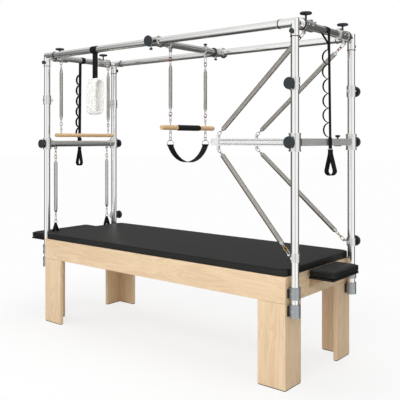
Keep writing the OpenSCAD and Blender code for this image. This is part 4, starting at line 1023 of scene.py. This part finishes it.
@dataclass
class TubeFrame:
    """The polished frame, its corners, sockets, collars and knobs."""

    screw: GeoTool

    def build(self) -> None:
        """Dress the frame's nodes and add its screws."""
        dress(Metal("polished_steel", (0.93, 0.925, 0.91), 0.12, 0.03), "uprights", "long_rails",
              "corner_elbows")
        dress(Metal("satin_tube", (0.72, 0.72, 0.70), 0.24, 0.03, Axis.Y), "cross_tubes", "carriage_tube",
              "crossbar_tube")
        dress(Moulded("silver_beam", (0.42, 0.43, 0.415), 0.42, 900.0, 0.0, shine=0.6), "push_beam")
        dress(Metal("silver_sleeve", (0.80, 0.80, 0.78), 0.22, 0.04), "push_sleeves", "crossbar_sleeves",
              "hook_collars")
        dress(Metal("grey_socket", (0.42, 0.45, 0.47), 0.44, 0.08, cast=1.0), "post_sockets")
        dress(Moulded("slate_knob", (0.014, 0.021, 0.025), 0.38, 700.0, 0.0001, shine=0.45), "clamp_knobs",
              "cross_knobs", "push_knob_near", "push_knob_far", "crossbar_knobs", "carriage_trim")
        dress(Moulded("black_ring", (0.008, 0.008, 0.009), 0.55), "gasket_rings", "push_trim")
        self.screws(dress(Metal("satin_casting", (0.72, 0.72, 0.70), 0.26, 0.05, cast=0.3), "cross_couplings",
                          "carriage_clamps"))

    def screws(self, material: Material) -> None:
        """Set the socket screws of the sockets, collars and couplings."""
        spots: list[Spot] = []
        for sx in (-1, 1):
            for sy in (-1, 1):
                spots += [((sx * POST_X, sy * (POST_Y + 0.0320), z), (0, sy, 0)) for z in (0.5585, 0.4585)]
                spots += [((sx * (POST_X + 0.0330), sy * y, RAIL_Z), (sx, 0, 0)) for y in (0.255, 0.205)]
                spots.append(((sx * (POST_X + 0.0300), sy * POST_Y, 1.750), (sx, 0, 0)))
        crossbar = [((-POST_X - 0.0330, sy * POST_Y, CROSSBAR_Z + dz), (-1, 0, 0))
                    for sy in (-1, 1) for dz in (-0.028, 0.028)]
        carriage = [((CARRIAGE_X - 0.04, sy * POST_Y, 2.1310), (0, 0, 1)) for sy in (-1, 1)]
        carriage += [((CARRIAGE_X, sy * TRAPEZE_Y + dy, 2.130), (0, 0, 1))
                     for sy in (-1, 1) for dy in (-0.0125, 0.0125)]
        for body, group, radius, rise in (("frame", spots, 0.0052, 0.005), ("crossbar", crossbar, 0.0045, 0.0045),
                                          ("carriage", carriage, 0.004, 0.004)):
            name = body + "_screws"
            piece = self.screw.run(name, material, marks(name + "_spots", group), Radius=radius, Rise=rise)
            settle(piece, body)


@dataclass
class PushFrame:
    """The swinging frame: its arms, handle and recessed panels."""

    tip: Point = (0.440, 0.216, 1.417)
    root: Point = (1.118, 0.303, 1.417)
    thick: float = 0.020
    recess_start: float = 0.055  # from the tip
    recess_end: float = 0.045  # from the root
    recess_high: float = 0.0125
    bead_wide: float = 0.0021
    bead_high: float = 0.0010

    def panel(self, side: int, outer: int, material: Material) -> None:
        """Make the shallow raised rim of a recess on one face of an arm."""
        tip, root = Vector(self.tip), Vector(self.root)
        tip.y, root.y = tip.y * side, root.y * side
        way = (root - tip).normalized()
        out = UP.cross(way) * outer
        start, end, high = self.recess_start, (root - tip).length - self.recess_end, self.recess_high

        def fill(bm: BMesh) -> None:
            """Sweep a small bead round a stadium on the face."""
            path = [Vector((u, v)) for u, v in arc((end - high, 0), high, -90, 90, 8)
                    + arc((start + high, 0), high, 90, 270, 8)]
            ring = []
            for last, here, after in zip(path[-1:] + path, path, path[1:] + path[:1]):
                run = (after - last).normalized()
                middle = tip + way * here.x + UP * here.y + out * (self.thick / 2)
                ring.append((middle, (way * -run.y + UP * run.x) * self.bead_wide, out * self.bead_high))
            bead(bm, ring)

        name = f"arm_panel_{'near' if side < 0 else 'far'}_{'out' if outer * side > 0 else 'in'}"
        settle(mesh_piece(name, fill, [material]), "push_frame")

    def build(self) -> None:
        """Dress the arms and handle."""
        dress(Moulded("silver_arm", (0.67, 0.68, 0.675), 0.34, 900.0, 0.0, shine=0.6), "push_arms")
        rim = Metal("arm_bead", (0.30, 0.30, 0.30), 0.3, 0.06).build()
        dress(Moulded("handle_grip", (0.010, 0.010, 0.011), 0.62, 900.0, 0.0004), "push_handle")
        for side in (-1, 1):
            for outer in (-1, 1):
                self.panel(side, outer, rim)


@dataclass
class CoilSpring:
    """One close-wound spring between two points, narrowed over the plugs at its ends."""

    name: str
    start: Point
    end: Point
    radius: float
    wire: float
    pitch: float
    low_taper: float
    high_taper: float
    node: str
    bodies: tuple[str, ...]

    def build(self, tool: GeoTool, material: Material) -> None:
        """Wind the spring and fix its ends to their bodies."""
        a, b = Vector(self.start) + MIDDLE, Vector(self.end) + MIDDLE
        way = b - a
        place = Matrix.Translation(a) @ way.to_track_quat("Z", "Y").to_matrix().to_4x4()
        piece = tool.run(
            self.name, material, place=place, Turns=way.length / self.pitch, Radius=self.radius - self.wire / 2,
            Wire=self.wire, Height=way.length, Low_Taper=self.low_taper, High_Taper=self.high_taper, Tip=0.36,
        )
        if self.node:
            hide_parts(self.node)
        if len(self.bodies) == 2:
            run = way.normalized()
            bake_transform(piece, *self.bodies, start=a + run * self.low_taper, end=b - run * self.high_taper)
        else:
            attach(piece, self.bodies[0])


@dataclass
class Springs:
    """Every spring of the table, its rings and clips."""

    wind: GeoTool
    arm_x: float = 0.484
    arm_y: float = 0.22165
    arm_run: float = 0.0434
    plug: float = 0.020
    gap: float = 0.003
    ring_reach: float = 0.0180

    def line(self, side: int, foot: Point, arm_z: float) -> tuple[Vector, Vector, Vector]:
        """Return a slanted spring's foot on the canopy, its pin on the arm and the way between them."""
        start, end = Vector((foot[0], side * foot[1], foot[2])), Vector((self.arm_x, side * self.arm_y, arm_z))
        return start, end, (end - start).normalized()

    def slanted(self, side: int, name: str, kind: str, foot: Point, arm_z: float, run: float) -> CoilSpring:
        """Return one spring of the push-through frame, whose coil starts at run from its foot."""
        start, end, way = self.line(side, foot, arm_z)
        low, high = start + way * (run + self.gap), end - way * (self.arm_run + self.gap)
        return CoilSpring(f"{kind}_spring_{name}", tuple(low), tuple(high), 0.0170, 0.0033, 0.0035, self.plug,
                          self.plug, kind + "_coils", (kind + "_springs", kind + "_tips"))

    @staticmethod
    def hung(name: str, place: Pair, heights: Pair, radius: float, pitch: float, tapers: Pair, node: str,
             bodies: tuple[str, ...]) -> CoilSpring:
        """Return one upright spring of 4 mm wire between two heights."""
        low, high = ((*place, height) for height in heights)
        return CoilSpring(name, low, high, radius, 0.0040, pitch, *tapers, node, bodies)

    def pairs(self) -> list[CoilSpring]:
        """Return the springs, near and far."""
        made = []
        for side, name in SIDES:
            made += [
                self.slanted(side, name, "upper", UPPER_FOOT, UPPER_PIN_Z, 0.0711),
                self.slanted(side, name, "lower", LOWER_FOOT, LOWER_PIN_Z, 0.0691),
                self.hung(f"trapeze_spring_{name}", (CARRIAGE_X, side * TRAPEZE_Y), (1.9660, 1.6420), 0.0142,
                          0.0044, (0.034, 0.018), "trapeze_springs", ("trapeze_hang", "trapeze")),
                self.hung(f"roll_spring_{name}", (ROLL_X, side * ROLL_Y), (2.0236, 1.5860), 0.0148, 0.0044,
                          (0.050, 0.034), "roll_springs", ("roll_hang", "roll_down")),
                self.hung(f"leg_spring_{name}_coil", (-POST_X, side * LEG_Y), (1.2640, 0.8440), 0.0156, 0.0045,
                          (0.018, 0.018), "", (f"leg_{name}",)),
            ]
        return made

    def rings(self) -> list[tuple[Point, float, Colour]]:
        """Return the coloured rings: the middle, reach and colour of each."""
        made = []
        for side, _ in SIDES:
            for foot, arm_z, run, colour in ((UPPER_FOOT, UPPER_PIN_Z, 0.0444, RED),
                                             (LOWER_FOOT, LOWER_PIN_Z, 0.0424, GOLD)):
                start, _, way = self.line(side, foot, arm_z)
                made.append((tuple(start + way * run), self.ring_reach, colour))
            made += [((CARRIAGE_X, side * TRAPEZE_Y, z), 0.0175, RED) for z in (1.9956, 1.6093)]
        made += [((ROLL_X, ROLL_Y, 2.0533), 0.0175, RED), ((ROLL_X, ROLL_Y, 1.5613), 0.0155, RED)]
        return made + [((-POST_X, side * LEG_Y, 1.2939), 0.0175, GOLD) for side, _ in SIDES]

    def build(self) -> None:
        """Wind the springs and dress the links."""
        steel = Metal("spring_steel", (0.56, 0.53, 0.48), 0.12, 0.05).build()
        for spring in self.pairs():
            spring.build(self.wind, steel)
        bright = Metal("bright_link", (0.66, 0.655, 0.64), 0.20, 0.10, accents=tuple(self.rings()))
        dress(bright, "upper_links", "upper_ends", "lower_links", "lower_ends", "trapeze_hangers",
              "trapeze_links", "sling_rings", "roll_hangers", "roll_links", "leg_spring_near", "leg_spring_far")


@dataclass
class HangingBars:
    """The trapeze bar, its foam grip and the roll-down bar, each by its length and radius."""

    trapeze: Pair = (0.580, 0.017)
    roll: Pair = (0.620, 0.015)
    grip: Pair = (0.250, 0.021)

    @staticmethod
    def wooden(length: float, radius: float, soft: float = 0.006) -> list[Pair]:
        """Return the profile of a wooden bar with rounded ends."""
        half = length / 2
        end = [(-half, radius * 0.55), (-half + 0.0008, radius * 0.8), (-half + soft * 0.4, radius * 0.94),
               (-half + soft, radius)]
        middle = [(-half + soft + (length - 2 * soft) * i / 24, radius) for i in range(1, 24)]
        return end + middle + [(-s, r) for s, r in reversed(end)]

    @staticmethod
    def foam(length: float, radius: float, count: int = 60) -> list[Pair]:
        """Return the profile of a foam sleeve with soft ends and faint squeeze rings."""
        return [(-length / 2 + length * i / count,
                 radius * (0.86 + 0.14 * min(1.0, min(i, count - i) / 3)) - 0.0003 * (1 + math.sin(i * 1.7)))
                for i in range(count + 1)]

    def build(self) -> None:
        """Build both bars and the grip."""
        wood = Timber("turned_beech", Axis.Y, (0.70, 0.47, 0.25), (0.55, 0.33, 0.15), 0.5).build()
        foam = Moulded("black_foam", (0.010, 0.010, 0.010), 0.85, 1500.0, 0.0005).build()
        for name, node, x, z, stations, body, slot, material in (
            ("trapeze_wooden_bar", "trapeze_bar", CARRIAGE_X, TRAPEZE_Z, self.wooden(*self.trapeze), "trapeze",
             "bar_wood", wood),
            ("roll_wooden_bar", "roll_bar", ROLL_X, ROLL_Z, self.wooden(*self.roll), "roll_down",
             "bar_wood", wood),
            ("trapeze_foam_grip", "trapeze_grip", CARRIAGE_X, TRAPEZE_Z, self.foam(*self.grip), "trapeze",
             "foam_black", foam),
        ):
            settle(revolve(name, x, z, stations, material), body, node)


@dataclass
class Sewing:
    """The black webbing and the grey thread, and what is made of them."""

    stitch: GeoTool
    web: Material = field(init=False)
    thread: Material = field(init=False)
    stitch_radius: float = 0.00045
    stitch_length: float = 0.0028

    def __post_init__(self) -> None:
        """Make the two materials."""
        self.web = Webbing("black_webbing").build()
        self.thread = Moulded("grey_thread", (0.06, 0.06, 0.062), 0.7, 2000.0).build()

    def band(self, name: str, path: list[Vector], across: Vector, width: float, thick: float,
             loop: bool = False) -> Object:
        """Return one ribbon of black webbing."""
        return Ribbon(name, path, across, width, thick, loop).build(self.web)

    def sewn(self, name: str, spots: list[Spot], body: str) -> None:
        """Sew stitches in place."""
        piece = self.stitch.run(name, self.thread, marks(name + "_spots", spots), Radius=self.stitch_radius,
                                Rise=self.stitch_length)
        settle(piece, body)


@dataclass
class SafetyStrap:
    """One safety strap: a wrap round its tube, a run, scallops and a handle, lying in the XZ plane."""

    kit: Sewing
    side: str
    mirror: int
    lean_deg: float = 0.8
    width: float = 0.030
    handle: float = 0.060
    seam_z: float = -0.085  # heights from the tube's axis
    run_end: float = -0.655
    low: float = -0.888
    scallop: float = 0.046
    scallops: int = 6
    middle: float = LOOP_RADIUS + WEB_THICK / 2  # of the webbing where it lies on the tube
    parts: list[Object] = field(default_factory=list)

    @property
    def name(self) -> str:
        """Return the finished piece's name."""
        return f"safety_strap_{self.side}"

    def put(self, points: list[Pair]) -> list[Vector]:
        """Lean the points, mirror them and move them to the tube."""
        lean = math.radians(self.lean_deg)
        c, s = math.cos(lean), math.sin(lean)
        return [Vector((self.mirror * (POST_X + u * c - v * s), 0, RAIL_Z + (u * s + v * c)))
                for u, v in points]

    def add(self, part: str, points: list[Pair], wide: float, deep: float, loop: bool = False,
            across: Vector = ACROSS) -> None:
        """Add a ribbon, its width and depth in shares of the strap's own."""
        self.parts.append(self.kit.band(self.name + part, self.put(points), across, self.width * wide,
                                        WEB_THICK * deep, loop))

    def wrap(self) -> None:
        """Wrap the tube: the right strap is sewn to its run below it, the left one is a plain ring."""
        if self.mirror < 0:
            self.add("_wrap", arc((0, 0), self.middle, 0, 360, 48)[:-1], 1.2, 1.0, True)
            return
        seam = (self.middle - WEB_THICK, self.seam_z)
        bend = math.atan2(seam[1], seam[0]) - math.acos(self.middle / math.hypot(*seam))
        wrap = arc((0, 0), self.middle, 0, 360 + math.degrees(bend), 40)
        last = wrap[-1]
        strand = [(last[0] + (seam[0] - last[0]) * f / 8, last[1] + (seam[1] - last[1]) * f / 8)
                  for f in range(9)]
        self.add("_wrap", wrap, 1.5, 1.2)
        self.add("_strand", strand + [(seam[0], seam[1] - 0.010 * i) for i in range(1, 5)], 1.08, 1.0)

    def waves(self, pitch: float) -> list[Pair]:
        """Return the path of the scallops, from the top one down."""
        path: list[Pair] = []
        for i in range(self.scallops):
            centre = (self.middle - self.mirror * (WEB_THICK * 0.9),
                      self.run_end + self.scallop + pitch * (self.scallops - 1 - i))
            turn = arc(centre, self.scallop - WEB_THICK / 2, 90, 270 if self.mirror > 0 else -90, 16)
            narrow = 0.96 + 0.03 * math.sin(i * 2.1)
            path += [(centre[0] + (u - centre[0]) * narrow, v) for u, v in turn[1 if path else 0:]]
        return path

    def grip(self) -> list[Pair]:
        """Return the path of the handle: two legs that open into a round loop."""
        mid, gap = self.middle, 0.002
        r = self.handle / 2 - gap
        centre, top = (mid, self.low + self.handle / 2), self.run_end - 0.072
        opening = [(max(0.0, f - 0.2) / 0.8, f) for f in (0.1, 0.2, 0.35, 0.5, 0.65, 0.8, 0.92)]
        leg = [(gap + (r - gap) * w, top + (centre[1] - top) * f) for w, f in opening]
        path = [(mid - gap, top)] + [(mid - u, v) for u, v in leg] + arc(centre, r, 180, 360, 20)
        return path + [(mid + u, v) for u, v in reversed(leg)] + [(mid + gap, top)]

    def build(self) -> None:
        """Build the strap, join it and sew it."""
        mid, end, pitch = self.middle, self.run_end, 2 * self.scallop - WEB_THICK
        self.wrap()
        self.add("_run", [(mid, -0.001 - (-end + 0.069) * i / 30) for i in range(31)], 1.0, 1.0)
        self.add("_scallops", self.waves(pitch), 0.66, 0.8)
        self.add("_handle", self.grip(), 1.1, 1.5, across=HANDLE_TURN if self.mirror > 0 else ACROSS)
        self.add("_neck", [(mid, end - 0.010 * i) for i in range(8)], 1.45, 1.1)
        body = f"strap_{self.side[0]}"
        settle(join(self.name, self.parts), body, f"strap_{self.side}")
        stitches: list[Spot] = []
        for height in [end + pitch * i for i in range(self.scallops + 1)] + [-0.045]:
            for spot in self.put([(mid + 0.0014, height - 0.008), (mid + 0.0014, height + 0.008)]):
                stitches += row((spot.x, -0.011, spot.z), (spot.x, 0.011, spot.z))
        self.kit.sewn(self.name + "_stitches", stitches, body)


@dataclass
class Sling:
    """The sling band, hemmed round the bars of its two D-rings."""

    kit: Sewing
    bar_z: float = 1.3934
    low: float = 1.268
    half: float = 0.195
    thick: float = 0.003
    width: float = 0.055
    hem: float = 0.0043

    def build(self) -> None:
        """Build the band with its hems and sew it."""
        drop = self.bar_z - self.hem - 0.0015 - self.low
        r = (self.half ** 2 + drop ** 2) / (2 * drop)
        span = math.degrees(math.asin(self.half / r))
        path = [Vector((CARRIAGE_X, y, z))
                for y, z in arc((0, self.low + r), r - self.thick / 2, 270 - span, 270 + span, 60)]
        parts = [self.kit.band("sling_run", path, ALONG, self.width, self.thick)]
        inner = r - self.thick
        stitches: list[Spot] = []
        for side in (-1, 1):
            ring = [Vector((CARRIAGE_X, side * self.half + y, self.bar_z + z))
                    for y, z in arc((0, 0), self.hem, 0, 360, 20)[:-1]]
            parts.append(self.kit.band(f"sling_hem_{side}", ring, ALONG, self.width, self.thick * 0.8, True))
            for share in (0.045, 0.06):
                angle = math.radians(270 + side * span * (1 - share * 2))
                y, z = inner * math.cos(angle), self.low + r + inner * math.sin(angle)
                stitches += row((CARRIAGE_X - 0.024, y, z), (CARRIAGE_X + 0.024, y, z))
        settle(join("sling_fabric", parts), "sling", "sling_band")
        self.kit.sewn("sling_stitches", stitches, "sling")


@dataclass
class LegCuff:
    """One leg cuff: a padded band loop under a short sewn neck."""

    kit: Sewing
    side: int
    name: str
    radius: float = 0.0210
    low: float = 0.668
    rise: float = 0.023  # of the round end's middle above low
    band: Pair = (0.038, 0.0038)  # width and thickness
    neck: Pair = (0.016, 0.0024)
    neck_radius: float = 0.0048
    pinch: float = 0.004  # half the opening under the neck

    def put(self, points: list[Pair]) -> list[Vector]:
        """Move the points to the spring's foot."""
        return [Vector((-POST_X, self.side * LEG_Y + u, v)) for u, v in points]

    def build(self) -> None:
        """Build the band and its neck."""
        node = f"leg_cuff_{self.name}"
        ring_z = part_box(node)[1][2] - 0.0055
        middle, top, r, pinch = self.low + self.rise, ring_z - 0.004, self.radius, self.pinch
        half = [(pinch, top - 0.012)]
        half += [(pinch + (r - pinch) * f, top - 0.012 + (middle - top + 0.012) * f)
                 for f in (0.25, 0.5, 0.75)]
        path = [(0.0, top)] + [(-u, v) for u, v in half] + arc((0, middle), r, 180, 360, 18) + half[::-1]
        loop = arc((0, ring_z + 0.001), self.neck_radius, -80, 260, 20)
        parts = [self.kit.band(node + "_band", self.put(path), ALONG, *self.band, True),
                 self.kit.band(node + "_neck", self.put(loop), ALONG, *self.neck)]
        settle(join(node + "_strap", parts), f"leg_{self.name}", node)


@dataclass
class FleeceLoop:
    """The webbing hanger and the deep fleece loop with its tufts."""

    kit: Sewing
    x: float = -0.564
    hang: float = 0.190
    tall: float = 0.265
    half: float = 0.045
    thick: float = 0.014
    width: float = 0.096
    sag: float = 0.004
    lump: float = 0.0012
    fuzz: float = 0.0003

    def hanger(self) -> None:
        """Make the hanger and sew it."""
        x, y, z = self.x, -POST_Y, RAIL_Z
        loop = [Vector((x, y + u, z + v))
                for u, v in arc((0, 0), LOOP_RADIUS + WEB_THICK / 2, 0, 360, 48)[:-1]]
        run = [Vector((x, y + 0.0002 * math.sin(i), z - 0.026 - (self.hang - 0.004) * i / 16))
               for i in range(17)]
        parts = [self.kit.band("fleece_wrap", loop, ALONG, 0.066, WEB_THICK * 1.4, True),
                 self.kit.band("fleece_run", run, ALONG, 0.056, 2 * WEB_THICK)]
        settle(join("fleece_hanger", parts), "fleece", "fleece_strap")
        stitches: list[Spot] = []
        for level in (z - 0.040, z - 0.062, z - 0.200):
            for face in (-1, 1):
                side = y + face * (WEB_THICK + 0.0001)
                stitches += row((x - 0.021, side, level), (x + 0.021, side, level))
        self.kit.sewn("fleece_stitches", stitches, "fleece")

    def body(self, wool: Material) -> Object:
        """Return the loop's thick body, sagged and faintly lumpy."""
        top, half, r = RAIL_Z - 0.024 - self.hang, self.half, self.half - self.thick / 2
        low = top - self.tall + half
        sides = [(self.tall - 2 * half) * i / 8 for i in range(1, 8)]
        path = arc((0, top - half), r, 0, 180, 20) + [(-r, top - half - s) for s in sides]
        path += arc((0, low), r, 180, 360, 20) + [(r, low + s) for s in sides]
        y = -POST_Y
        points = [Vector((self.x, y + u * (1 + 0.05 * math.sin(v * 40)), v + self.sag * math.sin(u * 50)))
                  for u, v in path]
        body = soften(Ribbon("fleece_body", points, ALONG, self.width, self.thick, True).build(wool))
        Cushion.apply(body)
        rng = np.random.default_rng(7)
        co = np.array([v.co for v in body.data.vertices])
        normal = np.array([v.normal for v in body.data.vertices])
        lump = np.sin(co[:, 0] * 170 + 1) * np.sin(co[:, 2] * 150) * np.sin(co[:, 1] * 160 + 2)
        co += normal * (lump * self.lump + rng.normal(0, self.fuzz, len(co)))[:, None]
        body.data.vertices.foreach_set("co", co.ravel())
        return body

    def tufts(self, mesh: bpy.types.Mesh, wool: Material) -> Object:
        """Scatter short curled tufts over a mesh with Geometry Nodes."""
        t = GeoTool("fleece_tufts", {"Density": 80000.0, "Length": 0.0052})
        scatter = t.add("GeometryNodeDistributePointsOnFaces", {"distribute_method": "RANDOM"}, {
            "Mesh": t.given("Geometry"), "Density": t.given("Density"), "Seed": 11,
        })
        cone = t.node("GeometryNodeMeshCone", inputs={
            "Vertices": 4, "Side Segments": 1, "Radius Top": 0.0002, "Radius Bottom": 0.0013,
            "Depth": t.given("Length"),
        }, out="Mesh")
        tilt = t.node("FunctionNodeRandomValue", {"data_type": "FLOAT_VECTOR"},
                      {0: (-0.7, -0.7, -3.1), 1: (0.7, 0.7, 3.1), "Seed": 5})
        turn = t.node("FunctionNodeRotateRotation", {"rotation_space": "LOCAL"}, {
            "Rotation": Sig(t, scatter.outputs["Rotation"]),
            "Rotate By": t.node("FunctionNodeEulerToRotation", inputs={"Euler": tilt}),
        })
        size = t.node("FunctionNodeRandomValue", {"data_type": "FLOAT"}, {2: 0.6, 3: 1.25, "Seed": 3}, out=1)
        t.close(t.node("GeometryNodeInstanceOnPoints", inputs={
            "Points": scatter.outputs["Points"], "Instance": cone, "Rotation": turn, "Scale": size,
        }, out="Instances"))
        return t.run("fleece_tuft_layer", wool, base=mesh.copy())

    def build(self) -> None:
        """Build the hanger, then the loop under its pile."""
        self.hanger()
        wool = Fleece("cream_fleece").build()
        body = self.body(wool)
        piece = join("fleece_loop_pile", [body, self.tufts(body.data, wool)])
        settle(piece, "fleece", "fleece_loop")


def main() -> None:
    """Build the table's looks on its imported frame."""
    logging.basicConfig(level=logging.INFO, format="%(message)s")
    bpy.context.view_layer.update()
    Studio().build()
    log.info("studio ready")
    WoodBase().build()
    log.info("wooden base ready")
    Upholstery().build()
    log.info("cushions ready")
    screw = aimed_tool("screw_setter", screw_part, {"Radius": 0.005, "Rise": 0.004})
    stitch = aimed_tool("stitcher", stitch_part, {"Radius": 0.0005, "Rise": 0.003})
    TubeFrame(screw).build()
    PushFrame().build()
    Springs(coil_tool()).build()
    HangingBars().build()
    kit = Sewing(stitch)
    for part in (SafetyStrap(kit, "right", 1), SafetyStrap(kit, "left", -1), Sling(kit),
                 *(LegCuff(kit, side, name) for side, name in SIDES), FleeceLoop(kit)):
        part.build()


if __name__ == "__main__":
    main()
